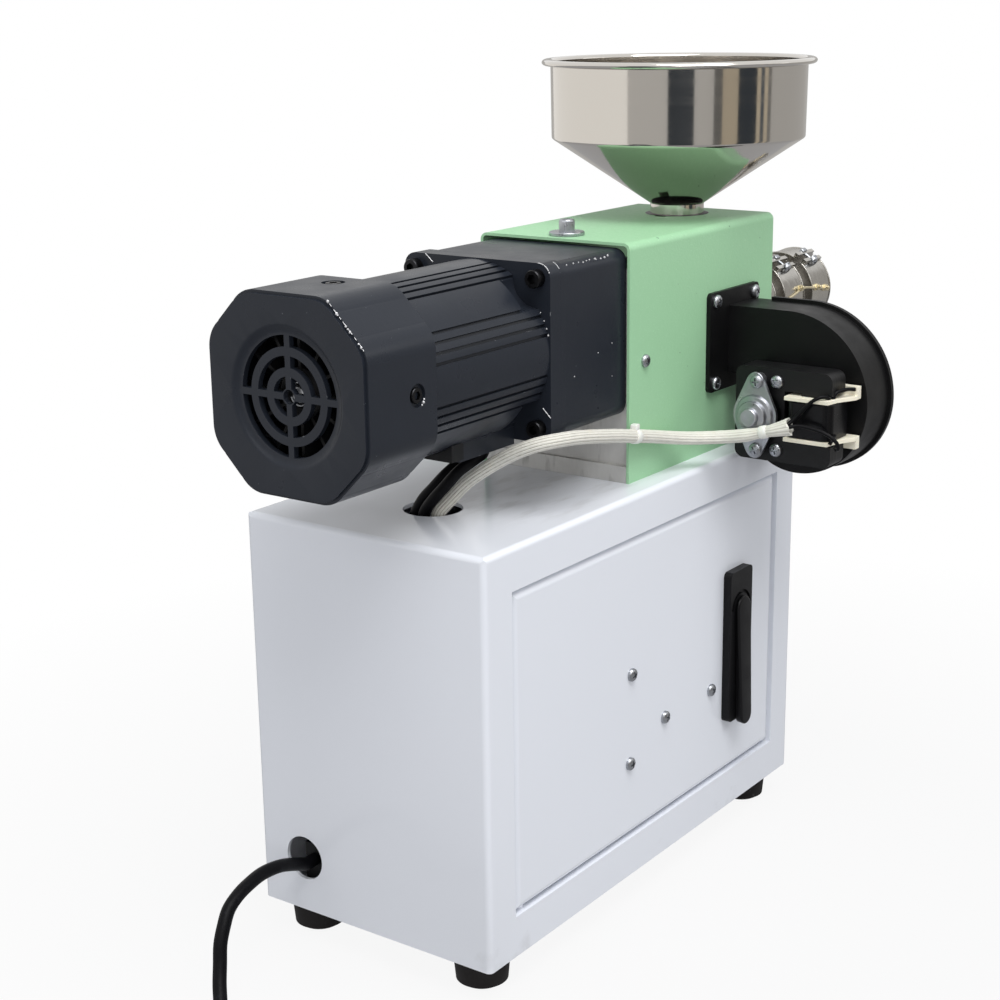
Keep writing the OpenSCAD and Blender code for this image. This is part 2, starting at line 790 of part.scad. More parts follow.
// Square with cut corners, centred, whose eight blunt corners are rounded
module cut_square(w, cut, r) {
    a = w / 2;
    b = w / 2 - cut;
    run = r * tan(22.5);
    difference() {
        polygon([[a, -b], [a, b], [b, a], [-b, a], [-a, b], [-a, -b], [-b, -a], [b, -a]]);
        for (q = [0 : 90 : 270], m = [0, 1]) rotate(q) mirror([0, m]) difference() {
            polygon([[a, b - run], [a + over, b - run], [a + over, b + over], [a - run, b + run]]);
            translate([a - r, b - run]) circle(r);
        }
    }
}

// Fan cover: a shell with cut corners and a dished grille of ring slots
module fan_cover() {
    inner_cut = cover_cut - cover_t * (2 - sqrt(2));
    color("#3a3e44") machine() on_motor(cover_x) difference() {
        union() {
            translate([0, 0, cover_edge]) linear_extrude(cover_l - cover_edge)
                cut_square(cover_w, cover_cut, cover_corner_r);
            linear_extrude(cover_edge + over)
                cut_square(cover_w - 2 * cover_edge, cover_cut - cover_edge * (2 - sqrt(2)), cover_corner_r);
        }
        translate([0, 0, cover_face_t + dish_depth]) linear_extrude(cover_l)
            cut_square(cover_w - 2 * cover_t, inner_cut, cover_corner_r - cover_t);
        for (a = [0 : 90 : 270]) rotate(a) translate([cover_w / 2 - cover_pocket_depth, 0, cover_pocket_x])
            rotate([0, 90, 0]) cylinder(d = cover_pocket_d, h = cover_pocket_depth + over);
        translate([0, 0, -over]) cylinder(d = dish_d, h = over);
        cylinder(d1 = dish_d, d2 = dish_floor_d, h = dish_depth);
        grille_slots();
    }
}

module grille_slots() {
    translate([0, 0, -over]) linear_extrude(cover_face_t + dish_depth + 2 * over) {
        circle(d = hub_hole_d);
        difference() {
            for (k = [0 : slot_rings - 1]) difference() {
                circle(d = grille_d - 2 * k * slot_pitch);
                circle(d = grille_d - 2 * k * slot_pitch - 2 * slot_w);
            }
            for (a = [0, 90]) rotate(a)
                translate([-grille_d / 2, -spoke_w / 2]) square([grille_d, spoke_w]);
        }
    }
}

// Cooling fan: a hub, a back plate and straight blades, on the motor's shaft
module motor_fan() {
    fan_x = cover_x + cover_face_t + dish_depth + fan_x_gap;
    blade_h = (fan_d - fan_hub_d) / 2;
    color("#2b2d30") machine() on_motor(fan_x) {
        difference() {
            union() {
                cylinder(d = fan_hub_d, h = fan_w);
                translate([0, 0, fan_w - fan_plate_t]) cylinder(d = fan_d, h = fan_plate_t);
                for (k = [0 : fan_blades - 1]) rotate(k * 360 / fan_blades)
                    translate([(fan_hub_d - fan_blade_t) / 2, -fan_blade_t / 2, 0])
                        cube([blade_h, fan_blade_t, fan_w]);
            }
            translate([0, 0, -over]) cylinder(d = fan_centre_d, h = fan_w / 4);
        }
        translate([0, 0, fan_w - fan_plate_t])
            cylinder(d = fan_bore_d, h = motor_x + bearing_depth - slack - fan_x - fan_w + fan_plate_t);
    }
}

// Outlet box low on the door side of the motor, in front of the pad
module lead_outlet() {
    color("#17181a") machine() on_motor(motor_x + outlet_gap) difference() {
        translate([-outlet_off, -outlet_drop, 0]) cube([outlet_w, outlet_h, outlet_l]);
        translate([0, 0, -over]) cylinder(d = motor_d + 2 * slack, h = outlet_l + 2 * over);
    }
}

// Hopper: one spun sheet with a rolled rim and a short neck
module hopper() {
    r = hopper_d / 2;
    n = neck_d / 2;
    drop = hopper_z - neck_bottom;
    profile = [
        [n - hopper_t, -drop], [n, -drop], [n, 0], [r, hopper_cone_h], [r, hopper_cone_h + hopper_band_h],
        [r - hopper_t, hopper_cone_h + hopper_band_h], [r - hopper_t, hopper_cone_h + hopper_t / 2],
        [n - hopper_t, hopper_t / 2]
    ];
    color("#c4c2bd") machine() translate([hopper_x, axis_y, hopper_z]) rotate_extrude() {
        polygon(profile);
        translate([r + rim_d / 2 - hopper_t / 2, hopper_cone_h + hopper_band_h]) circle(d = rim_d);
    }
}

// Barrel, from the feed block to the die
module barrel() {
    color("#8e8c88") machine() along_x(feed_end) translate([axis_y, barrel_z])
        cylinder(d = barrel_d, h = barrel_end - feed_end);
}

// Heater band: a split clamping ring with two ears
module heater_band(x) {
    color("#b5b2ac") machine() along_x(x) translate([axis_y, barrel_z]) difference() {
        union() {
            cylinder(d = band_d, h = band_w);
            rotate(band_split_deg) for (s = [-1, 1])
                translate([0, s * (band_slit + band_ear_t) / 2 - band_ear_t / 2, (band_w - band_ear_w) / 2])
                    cube([band_d / 2 + band_ear_h, band_ear_t, band_ear_w]);
        }
        translate([0, 0, -over]) cylinder(d = barrel_d + 2 * band_gap, h = band_w + 2 * over);
        rotate(band_split_deg) translate([0, -band_slit / 2, -over])
            cube([band_d, band_slit, band_w + 2 * over]);
    }
}

module heater_band_rear() {
    heater_band(band_front_x - 2 * band_pitch);
}

module heater_band_middle() {
    heater_band(band_front_x - band_pitch);
}

module heater_band_front() {
    heater_band(band_front_x);
}

// Die at the end of the barrel
module die() {
    color("#a5a29c") machine() along_x(barrel_end) translate([axis_y, barrel_z]) difference() {
        cylinder(d = die_d, h = die_l);
        translate([0, 0, -over]) cylinder(d = die_hole_d, h = die_l + 2 * over);
        translate([0, 0, die_l / 2]) cylinder(d1 = die_hole_d, d2 = die_seat_d, h = die_l / 2);
    }
}

// Blower: the outlet flange sits on the housing's wall, and the scroll hangs beside the cabinet
module blower_flange() {
    flange_x = scroll_x + (scroll_w - outlet_flange_w) / 2 - outlet_flange_off;
    color("#161719") machine() difference() {
        along_door(housing_y) translate([flange_x, outlet_z - outlet_flange_w / 2])
            linear_extrude(flange_plate_t) round_rect(outlet_flange_w, outlet_flange_w, handle_corner);
        translate([scroll_x + duct_wall, housing_y - flange_plate_t - over, scroll_top - duct_h + duct_wall])
            cube([scroll_w - 2 * duct_wall, flange_plate_t + 2 * over, duct_h - 2 * duct_wall]);
    }
}

// Quarter of the scroll: a circle kept in one quadrant round its own centre
module scroll_quarter(at, r, turn) {
    translate(at) rotate(turn) intersection() {
        circle(r);
        square(r);
    }
}

// Outline of the scroll in Y and Z: three quarters of falling radius and the duct
module scroll_outline(grow) {
    a = scroll_step;
    r = scroll_r + grow;
    c = [scroll_y, scroll_z];
    scroll_quarter(c, r, 90);
    scroll_quarter(c - [a, 0], r - a, 180);
    scroll_quarter(c - [a, a], r - 2 * a, 270);
    translate([scroll_y - a, scroll_z - a]) square([r - 2 * a, a + scroll_r + grow - duct_h]);
    translate([scroll_y - a, scroll_z - a]) square([a, scroll_r / 2]);
    translate([scroll_y, scroll_top - duct_h]) square([-scroll_y, duct_h + grow]);
    translate([scroll_y - a, scroll_z - over]) square([r - 2 * a, scroll_top - duct_h - scroll_z + 2 * over]);
}

module blower_scroll() {
    duct_end = housing_y - flange_plate_t;
    color("#1b1c1e") machine() along_x(scroll_x) difference() {
        union() {
            linear_extrude(scroll_w) scroll_outline(0);
            translate([0, 0, scroll_w - near_lip_t]) linear_extrude(near_lip_t) scroll_outline(lip_proud);
            linear_extrude(scroll_w) translate([scroll_y, scroll_top - duct_h])
                square([duct_end - scroll_y, duct_h]);
        }
        translate([rotor_y, rotor_z, scroll_w - intake_depth])
            cylinder(d = intake_d, h = intake_depth + over);
    }
}

// Iron core of the blower's motor: a plate stack with a rotor bore and a leg for the coil, on two posts
module blower_core() {
    head_end = rotor_y - core_head_w / 2;
    color("#191a1c") machine() {
        for (s = [-1, 1]) along_x(core_x + core_w) translate([rotor_y, rotor_z + s * core_screw_span / 2])
            cylinder(d = core_stand_d, h = core_stand);
        along_x(core_x) linear_extrude(core_w) core_outline(head_end);
    }
}

// Outline of the core in Y and Z
module core_outline(head_end) {
    difference() {
        union() {
            translate([head_end, rotor_z - core_h / 2]) round_rect(core_head_w, core_h, core_corner);
            translate([head_end - core_arm_l, rotor_z - core_h / 2])
                round_rect(core_arm_l + core_corner * 2, core_h, core_corner);
        }
        translate([rotor_y, rotor_z]) circle(d = rotor_bore_d);
        translate([head_end - core_leg_off, rotor_z - core_h / 2 + core_arm_h])
            square([core_leg_off, core_h - 2 * core_arm_h]);
        translate([head_end - core_arm_l - over, rotor_z - core_h / 2 + core_arm_h])
            square([core_arm_l - core_leg_off - core_leg_w + over, core_h - 2 * core_arm_h]);
    }
}

// Bearing bracket: a diamond plate on two posts, with a stepped boss
module bearing_bracket() {
    tip = bracket_screw_span / 2;
    boss_ends = [boss_l[0], boss_l[0] + boss_l[1], boss_l[0] + boss_l[1] + boss_l[2]];
    color("#a4a8ac") machine() {
        along_x(bracket_x) translate([rotor_y, rotor_z]) linear_extrude(bracket_t) {
            circle(bracket_waist_r);
            for (s = [-1, 1]) translate([0, s * tip]) circle(bracket_tip_r);
            polygon([
                [-bracket_tip_r, tip], [bracket_tip_r, tip], [bracket_waist_r, 0],
                [bracket_tip_r, -tip], [-bracket_tip_r, -tip], [-bracket_waist_r, 0]
            ]);
        }
        for (s = [-1, 1]) along_x(bracket_x + bracket_t) translate([rotor_y, rotor_z + s * tip])
            cylinder(r = bracket_post_r, h = core_x - bracket_x - bracket_t);
        for (k = [0 : len(boss_l) - 1]) along_x(bracket_x - boss_ends[k]) translate([rotor_y, rotor_z])
            cylinder(d = boss_d[k], h = boss_ends[k]);
    }
}

// Bobbin on the core's leg: two flanges and a square tube
module blower_bobbin() {
    leg_y = rotor_y - core_head_w / 2 - core_leg_off - core_leg_w / 2;
    mid_x_core = core_x + core_w / 2;
    hole = [core_w + 2 * slack, core_leg_w + 2 * slack];
    tube_size = hole + [2 * bobbin_tube_t, 2 * bobbin_tube_t];
    color("#ece5cf") machine() translate([mid_x_core, leg_y, rotor_z - bobbin_h / 2]) difference() {
        union() {
            for (m = [0, 1]) translate([0, 0, m * bobbin_h]) mirror([0, 0, m]) {
                linear_extrude(bobbin_flange_t) polygon(bobbin_outline);
                translate([bobbin_tab_at.x, bobbin_tab_at.y, bobbin_flange_t - bobbin_tab.z])
                    cube(bobbin_tab);
            }
            translate([-tube_size.x / 2, -tube_size.y / 2, 0]) cube([tube_size.x, tube_size.y, bobbin_h]);
        }
        translate([-hole.x / 2, -hole.y / 2, -over]) cube([hole.x, hole.y, bobbin_h + 2 * over]);
    }
}

// Taped coil between the bobbin's flanges
module blower_coil() {
    leg_y = rotor_y - core_head_w / 2 - core_leg_off - core_leg_w / 2;
    mid_x_core = core_x + core_w / 2;
    hole = [core_w + 2 * slack + 2 * bobbin_tube_t + 2 * coil_gap,
        core_leg_w + 2 * slack + 2 * bobbin_tube_t + 2 * coil_gap];
    outer = hole + [coil_t, 2 * coil_t];
    height = bobbin_h - 2 * bobbin_flange_t - 2 * coil_gap;
    color("#141416") machine() translate([mid_x_core, leg_y, rotor_z - height / 2]) linear_extrude(height)
        difference() {
            translate(-outer / 2) round_rect(outer.x, outer.y, core_corner);
            translate(-hole / 2) square(hole);
        }
}

// Leads that run between the machine's own parts
module motor_leads() {
    color("#141416") machine() {
        tube(smooth(motor_route_a, 2), motor_lead_d, 8);
        tube(smooth(motor_route_b, 2), motor_lead_d, 8);
    }
}

module braided_sleeve() {
    color("#e4dfd2") machine() tube(smooth(sleeve_route, 2), sleeve_d, 10);
}

// Mains lead: the stretch that hangs from the cord hole, its coil on the floor and its plug
module mains_lead() {
    color("#1e2026") machine() tube(smooth(mains_route, 2), lead_d, 10);
}

module lead_coil() {
    color("#1e2026") machine() translate([coil_at.x, coil_at.y, floor_z]) rotate_extrude()
        translate([(coil_mid_d - coil_w) / 2, 0]) round_rect(coil_w, coil_h, lead_d / 2);
}

module lead_plug() {
    middle = floor_z + plug_h / 2;
    body_x = plug_at.x + plug_tail_l;
    color("#1a1b1f") machine() {
        along_x(plug_at.x) translate([plug_at.y, middle])
            cylinder(d1 = lead_d + 2 * plug_tail_wall, d2 = plug_tail_d, h = plug_tail_l);
        translate([body_x, plug_at.y - plug_w / 2, floor_z]) linear_extrude(plug_h)
            round_rect(plug_l, plug_w, plug_corner);
        for (s = [-1, 1]) translate([body_x + plug_l, plug_at.y + s * plug_pin_span / 2, middle])
            rotate([s * plug_pin_turn, 0, 0]) translate([0, -plug_pin_t / 2, -plug_pin_w / 2])
                cube([plug_pin_l, plug_pin_t, plug_pin_w]);
    }
}

cabinet_top();
cabinet_base();
end_wall_motor();
end_wall_die();
control_wall();
stile_motor();
stile_die();
rail_top();
rail_bottom();
rubber_feet();
cord_clip();
door_panel();
handle_base();
handle_lever();
block_base();
block_upright();
feed_block();
housing_cover();
housing_bolt();
gearbox();
motor_flange();
motor_body();
fan_cover();
motor_fan();
lead_outlet();
hopper();
barrel();
heater_band_rear();
heater_band_middle();
heater_band_front();
die();
blower_flange();
blower_scroll();
blower_core();
bearing_bracket();
blower_bobbin();
blower_coil();
motor_leads();
braided_sleeve();
mains_lead();
lead_coil();
lead_plug();
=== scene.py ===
"""Desktop single screw extruder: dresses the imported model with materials, leads, fasteners and wear."""
import json
import math
import random

import bmesh
import bpy
from mathutils import Matrix, Vector


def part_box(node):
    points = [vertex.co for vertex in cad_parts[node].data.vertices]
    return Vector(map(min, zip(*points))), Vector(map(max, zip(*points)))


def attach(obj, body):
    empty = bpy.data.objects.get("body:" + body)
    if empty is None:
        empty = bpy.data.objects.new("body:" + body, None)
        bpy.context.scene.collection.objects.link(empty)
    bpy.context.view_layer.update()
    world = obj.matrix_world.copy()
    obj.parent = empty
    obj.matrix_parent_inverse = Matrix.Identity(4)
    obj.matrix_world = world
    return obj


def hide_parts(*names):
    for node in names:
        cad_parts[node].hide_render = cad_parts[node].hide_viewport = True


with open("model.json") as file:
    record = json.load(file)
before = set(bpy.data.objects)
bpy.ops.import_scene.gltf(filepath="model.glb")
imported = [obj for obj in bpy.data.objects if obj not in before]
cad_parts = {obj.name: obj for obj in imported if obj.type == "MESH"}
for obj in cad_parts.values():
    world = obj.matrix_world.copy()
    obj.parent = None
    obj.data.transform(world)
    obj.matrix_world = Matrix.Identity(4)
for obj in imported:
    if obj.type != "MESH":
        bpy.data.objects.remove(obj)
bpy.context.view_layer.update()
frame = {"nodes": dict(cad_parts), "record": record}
NODES = frame["nodes"]
SCENE = bpy.context.scene
COLLECTION = SCENE.collection
MM = 0.001
random.seed(41)

# cabinet frame in millimetres: x from the motor-end wall, y from the door side, z from the underside
ORIGIN = Vector((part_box("end_wall_motor")[0][0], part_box("stile_motor")[0][1],
                 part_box("cabinet_base")[0][2]))
X, Y, Z = Vector((1, 0, 0)), Vector((0, 1, 0)), Vector((0, 0, 1))


def at(x, y, z):
    """A point of the cabinet frame as a point of the row frame, in metres."""
    return ORIGIN + Vector((x, y, z)) * MM


def turned(point, axis, spin=0.0):
    """Matrix that puts a small piece drawn in millimetres along local +Z at a point, looking along axis."""
    look = Vector(axis).to_track_quat("Z", "Y").to_matrix().to_4x4()
    spun = Matrix.Rotation(math.radians(spin), 4, "Z")
    return Matrix.Translation(point) @ look @ spun @ Matrix.Scale(MM, 4)


# camera
CAMERA_AT, LENS, SENSOR = (-655.96, -485.61, 469.84), 66.51, 36.0
YAW, PITCH, ROLL = math.radians(35.96), math.radians(-15.5), math.radians(-0.8)
view_dir = Vector((math.cos(PITCH) * math.cos(YAW), math.cos(PITCH) * math.sin(YAW), math.sin(PITCH)))
level = view_dir.cross(Z).normalized()
lift = level.cross(view_dir)
cam_x = level * math.cos(ROLL) + lift * math.sin(ROLL)
cam_y = lift * math.cos(ROLL) - level * math.sin(ROLL)
camera = bpy.data.objects.new("camera", bpy.data.cameras.new("camera"))
camera.data.sensor_width = SENSOR
camera.data.lens = LENS
camera.data.clip_end = 50.0
camera.matrix_world = Matrix.Translation(at(*CAMERA_AT)) @ Matrix(
    (cam_x, cam_y, -view_dir)).transposed().to_4x4()
COLLECTION.objects.link(camera)
SCENE.camera = camera


# shaders
def nodes_of(owner):
    """The emptied node tree of a material or world."""
    owner.use_nodes = True
    tree = owner.node_tree
    tree.nodes.clear()
    return tree


class Shader:
    """A principled material that is built up from layers in object space."""

    def __init__(self, name, color, rough=0.5, metallic=0.0, **sockets):
        self.mat = bpy.data.materials.new(name)
        self.tree = nodes_of(self.mat)
        self.bsdf = self.add("ShaderNodeBsdfPrincipled")
        out = self.add("ShaderNodeOutputMaterial")
        self.link(self.bsdf.outputs["BSDF"], out.inputs["Surface"])
        self.put("Base Color", (*color, 1.0))
        self.put("Roughness", rough)
        self.put("Metallic", metallic)
        for key, value in sockets.items():
            self.put(key.replace("_", " "), value)
        self.coords = self.add("ShaderNodeTexCoord").outputs["Object"]
        self.color = None
        self.base = (*color, 1.0)
        self.normal = None

    def add(self, kind, **props):
        node = self.tree.nodes.new(kind)
        for key, value in props.items():
            setattr(node, key, value)
        return node

    def link(self, a, b):
        self.tree.links.new(a, b)

    def put(self, socket, value):
        self.bsdf.inputs[socket].default_value = value

    def stretched(self, scale):
        mapping = self.add("ShaderNodeMapping")
        mapping.inputs["Scale"].default_value = scale
        self.link(self.coords, mapping.inputs["Vector"])
        return mapping.outputs["Vector"]

    def noise(self, scale, detail=3.0, stretch=None, rough=0.55):
        node = self.add("ShaderNodeTexNoise")
        node.inputs["Scale"].default_value = scale
        node.inputs["Detail"].default_value = detail
        node.inputs["Roughness"].default_value = rough
        self.link(self.stretched(stretch) if stretch else self.coords, node.inputs["Vector"])
        return node.outputs["Fac"]

    def ramp(self, value, low, high, a=0.0, b=1.0):
        node = self.add("ShaderNodeMapRange")
        node.clamp = True
        for key, v in zip(("From Min", "From Max", "To Min", "To Max"), (low, high, a, b)):
            node.inputs[key].default_value = v
        self.link(value, node.inputs["Value"])
        return node.outputs["Result"]

    def math(self, op, a, b):
        node = self.add("ShaderNodeMath", operation=op)
        for socket, v in zip(node.inputs, (a, b)):
            if isinstance(v, (int, float)):
                socket.default_value = v
            else:
                self.link(v, socket)
        return node.outputs[0]

    def paint(self, mask, color):
        """Lays a colour over what is there, where the mask is 1."""
        node = self.add("ShaderNodeMix", data_type="RGBA")
        if self.color is None:
            node.inputs[6].default_value = self.base
        else:
            self.link(self.color, node.inputs[6])
        node.inputs[7].default_value = (*color, 1.0)
        self.link(mask, node.inputs[0])
        self.color = node.outputs[2]
        self.link(self.color, self.bsdf.inputs["Base Color"])
        return self

    def vary(self, scale, amount, stretch=None, detail=3.0):
        """Cloudy change of tone: a lighter and a darker shade of the base colour."""
        mask = self.ramp(self.noise(scale, detail, stretch), 0.3, 0.7)
        dark = [c * (1 - amount) for c in self.base[:3]]
        return self.paint(mask, dark)

    def gloss(self, scale, low, high, stretch=None, detail=3.0):
        value = self.ramp(self.noise(scale, detail, stretch), 0.3, 0.7, low, high)
        self.link(value, self.bsdf.inputs["Roughness"])
        return self

    def bump(self, height, distance, strength=1.0):
        node = self.add("ShaderNodeBump")
        node.inputs["Distance"].default_value = distance * MM
        node.inputs["Strength"].default_value = strength
        self.link(height, node.inputs["Height"])
        if self.normal:
            self.link(self.normal, node.inputs["Normal"])
        self.normal = node.outputs["Normal"]
        self.link(self.normal, self.bsdf.inputs["Normal"])
        return self

    def specks(self, scale, low, high, color):
        """Small grains of dirt."""
        return self.paint(self.ramp(self.noise(scale, 2.0), low, high), color)

    def part(self, axis):
        node = self.add("ShaderNodeSeparateXYZ")
        self.link(self.coords, node.inputs[0])
        return node.outputs[axis]

    def span(self, axis, low, high, soft):
        """1 between two planes of the row frame, falling to 0 over soft."""
        value = self.part(axis)
        rise = self.ramp(value, low - soft, low)
        fall = self.ramp(value, high, high + soft, 1.0, 0.0)
        return self.math("MULTIPLY", rise, fall)

    def edges(self, radius):
        """1 on sharp edges, from how a rounded normal turns away from the face."""
        bevel = self.add("ShaderNodeBevel", samples=6)
        bevel.inputs["Radius"].default_value = radius * MM
        face = self.add("ShaderNodeNewGeometry")
        dot = self.add("ShaderNodeVectorMath", operation="DOT_PRODUCT")
        self.link(bevel.outputs[0], dot.inputs[0])
        self.link(face.outputs["Normal"], dot.inputs[1])
        return self.ramp(dot.outputs["Value"], 0.97, 0.8)


def rgb(r, g, b):
    """An sRGB colour from 0 to 255 as linear values."""
    return tuple(c / 12.92 if c <= 0.04045 else ((c + 0.055) / 1.055) ** 2.4
                 for c in (r / 255, g / 255, b / 255))


def cabinet_paint():
    m = Shader("cabinet_paint", rgb(232, 235, 242), 0.15)
    m.vary(5, 0.012)
    # darker patches towards the bottom of the cabinet
    low_patches = m.ramp(m.noise(26, 5), 0.62, 0.75, 0.0, 0.3)
    m.paint(m.math("MULTIPLY", low_patches, m.span(2, 0.0, 0.03, 0.02)), rgb(176, 176, 178))
    on_top = m.math("MULTIPLY", m.span(0, -0.115, -0.05, 0.03), m.span(1, -0.02, 0.04, 0.015))
    on_top = m.math("MULTIPLY", on_top, m.span(2, 0.2326, 0.234, 0.0002))
    smears = m.ramp(m.noise(70, 6.0, (0.5, 1.6, 1.0)), 0.5, 0.7, 0.0, 0.3)
    m.paint(m.math("MULTIPLY", on_top, smears), rgb(160, 160, 158))
    m.gloss(30, 0.12, 0.19)
    m.bump(m.noise(160, 2.0), 0.02, 0.35)
    return m.mat


def housing_paint():
    m = Shader("housing_paint", rgb(161, 209, 166), 0.5)
    m.vary(9, 0.05)
    m.specks(900, 0.6, 0.72, rgb(172, 217, 177))
    m.specks(260, 0.755, 0.77, rgb(96, 130, 102))
    m.gloss(300, 0.44, 0.58)
    m.bump(m.noise(820, 2.0), 0.16, 0.6)
    m.bump(m.noise(330, 1.0), 0.16, 0.35)
    return m.mat


def motor_paint():
    m = Shader("motor_paint", rgb(36, 40, 48), 0.3, Specular_IOR_Level=0.2)
    m.vary(25, 0.1)
    m.specks(420, 0.775, 0.79, rgb(96, 99, 105))
    chips = m.math("MULTIPLY", m.edges(0.7), m.ramp(m.noise(160, 4.0), 0.68, 0.72))
    m.paint(chips, rgb(150, 152, 156))
    m.gloss(55, 0.26, 0.36)
    m.bump(m.noise(500, 2.0), 0.06, 0.5)
    return m.mat


def black_plastic(name, color, rough, grain):
    m = Shader(name, color, rough, Specular_IOR_Level=0.18)
    m.vary(40, 0.25)
    m.gloss(70, rough - 0.07, rough + 0.08)
    m.bump(m.noise(grain, 2.0), 0.05, 0.5)
    return m.mat


def rubber(name, color, rough):
    m = Shader(name, color, rough, Specular_IOR_Level=0.1)
    m.vary(60, 0.2)
    m.specks(300, 0.68, 0.74, tuple(c * 2.2 for c in color))
    m.gloss(90, rough - 0.06, rough + 0.1)
    m.bump(m.noise(700, 2.0), 0.06, 0.5)
    return m.mat


def metal(name, color, rough, stretch, grain, scratch=0.05, mottle=0.1, scale=60):
    m = Shader(name, color, rough, 1.0)
    m.vary(scale, mottle)
    m.gloss(grain, rough * 0.75, rough * 1.3, stretch, 4.0)
    m.bump(m.noise(grain, 4.0, stretch), scratch, 0.5)
    return m


def milled_aluminium():
    m = metal("milled_aluminium", rgb(204, 203, 200), 0.46, (1.0, 1.0, 0.12), 700, 0.05, 0.12, 40)
    m.put("Metallic", 0.45)
    m.paint(m.ramp(m.noise(38, 6.0), 0.54, 0.74, 0.0, 0.45), rgb(150, 148, 144))
    m.paint(m.ramp(m.noise(110, 5.0, (1.0, 1.0, 0.3)), 0.6, 0.72, 0.0, 0.5), rgb(118, 116, 112))
    return m.mat


def braid():
    m = Shader("braid", rgb(224, 222, 213), 0.75, Sheen_Weight=0.15)
    m.vary(220, 0.1)
    m.specks(120, 0.64, 0.78, rgb(218, 212, 198))
    m.bump(m.noise(1500, 3.0), 0.25, 0.6)
    return m.mat


def cord_seams():
    """The dark lines between the cords of the braid."""
    m = Shader("braid_seams", rgb(212, 208, 197), 0.85)
    m.paint(m.ramp(m.part(0), -0.13, -0.03, 1.0, 0.0), rgb(128, 121, 106))
    m.vary(400, 0.2)
    m.bump(m.noise(1500, 2.0), 0.1, 0.5)
    return m.mat


def spun_steel():
    m = Shader("spun_steel", rgb(206, 202, 196), 0.09, 1.0)
    m.gloss(30, 0.06, 0.13, (0.15, 0.15, 9.0), 4.0)
    m.bump(m.noise(40, 3.0, (0.2, 0.2, 14.0)), 0.03, 0.3)
    return m.mat


def core_iron():
    m = Shader("core_iron", rgb(13, 13, 15), 0.42, Specular_IOR_Level=0.3)
    m.vary(50, 0.3)
    lines = m.noise(900, 1.0, (1.0, 0.02, 0.02))
    m.bump(lines, 0.25, 0.7)
    m.gloss(80, 0.36, 0.55)
    return m.mat


def moulded(name, color, rough):
    m = Shader(name, color, rough, Subsurface_Weight=0.08, Subsurface_Radius=(0.004, 0.003, 0.002))
    m.vary(90, 0.08)
    m.gloss(120, rough - 0.06, rough + 0.08)
    m.bump(m.noise(500, 2.0), 0.04, 0.4)
    return m.mat


MAT = {
    "cabinet_paint": cabinet_paint(),
    "rubber_feet": rubber("rubber_feet", rgb(42, 40, 40), 0.55),
    "handle_plastic": black_plastic("handle_plastic", rgb(17, 17, 19), 0.42, 900),
    "milled_aluminium": milled_aluminium(),
    "feed_steel": metal("feed_steel", rgb(168, 165, 160), 0.34, (0.1, 1.0, 1.0), 500).mat,
    "housing_paint": housing_paint(),
    "zinc_steel": metal("zinc_steel", rgb(178, 181, 186), 0.3, (1, 1, 1), 240, 0.08, 0.22, 130).mat,
    "motor_paint": motor_paint(),
    "fan_plastic": black_plastic("fan_plastic", rgb(26, 27, 29), 0.45, 700),
    "spun_steel": spun_steel(),
    "band_steel": metal("band_steel", rgb(190, 187, 181), 0.24, (1.0, 0.15, 0.15), 420, 0.06, 0.15, 70).mat,
    "blower_plastic": black_plastic("blower_plastic", rgb(17, 17, 18), 0.42, 1000),
    "core_iron": core_iron(),
    "bobbin_plastic": moulded("bobbin_plastic", rgb(244, 238, 218), 0.42),
    "coil_tape": black_plastic("coil_tape", rgb(14, 14, 16), 0.22, 200),
    "braid": braid(),
    "lead_rubber": rubber("lead_rubber", rgb(11, 11, 14), 0.4),
}
BRASS = metal("brass", rgb(220, 209, 178), 0.42, (1, 1, 1), 300, 0.05, 0.2, 150).mat
TIE = moulded("tie_nylon", rgb(238, 238, 232), 0.35)
BLACK_WIRE = rubber("wire_insulation", rgb(16, 16, 18), 0.35)
BLACK_STEEL = metal("blackened_steel", rgb(46, 46, 48), 0.34, (1, 1, 1), 300, 0.05, 0.2, 150).mat
# bare metal of the motor's chips, which also paints highlights on the flange's corners and lip
BARE_METAL_AND_HIGHLIGHT = metal("bare_metal_and_highlight", rgb(224, 224, 226), 0.4, (1, 1, 1), 500, 0.1, 0.3, 400)
BARE_METAL_AND_HIGHLIGHT.put("Metallic", 0.3)
BARE_METAL_AND_HIGHLIGHT = BARE_METAL_AND_HIGHLIGHT.mat
CAST_ZINC = metal("cast_zinc", rgb(178, 180, 185), 0.36, (1, 1, 1), 420, 0.12, 0.18, 120).mat
SEAMS = cord_seams()

for entry in frame["record"]["subparts"]:
    mesh = NODES[entry["node"]].data
    mesh.materials.clear()
    mesh.materials.append(MAT[entry["material_slot"]])


# mesh helpers
def piece(name, bm, material, slot, body="machine", sharp=38.0):
    """Turns a mesh that is drawn in the row frame into a piece that rides on a body."""
    mesh = bpy.data.meshes.new(name)
    bmesh.ops.recalc_face_normals(bm, faces=bm.faces)
    bm.to_mesh(mesh)
    bm.free()
    mesh.materials.append(material)
    mesh.shade_smooth()
    mesh.set_sharp_from_angle(angle=math.radians(sharp))
    obj = bpy.data.objects.new(name, mesh)
    COLLECTION.objects.link(obj)
    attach(obj, body)
    return obj


def built(name, build, material, slot, **rest):
    """A piece that a function draws."""
    bm = bmesh.new()
    build(bm)
    return piece(name, bm, material, slot, **rest)


def add_mesh(bm, mesh, matrix):
    """Adds a copy of a drawn mesh, moved by a matrix."""
    copy = mesh.copy()
    copy.transform(matrix)
    bm.from_mesh(copy)
    bpy.data.meshes.remove(copy)


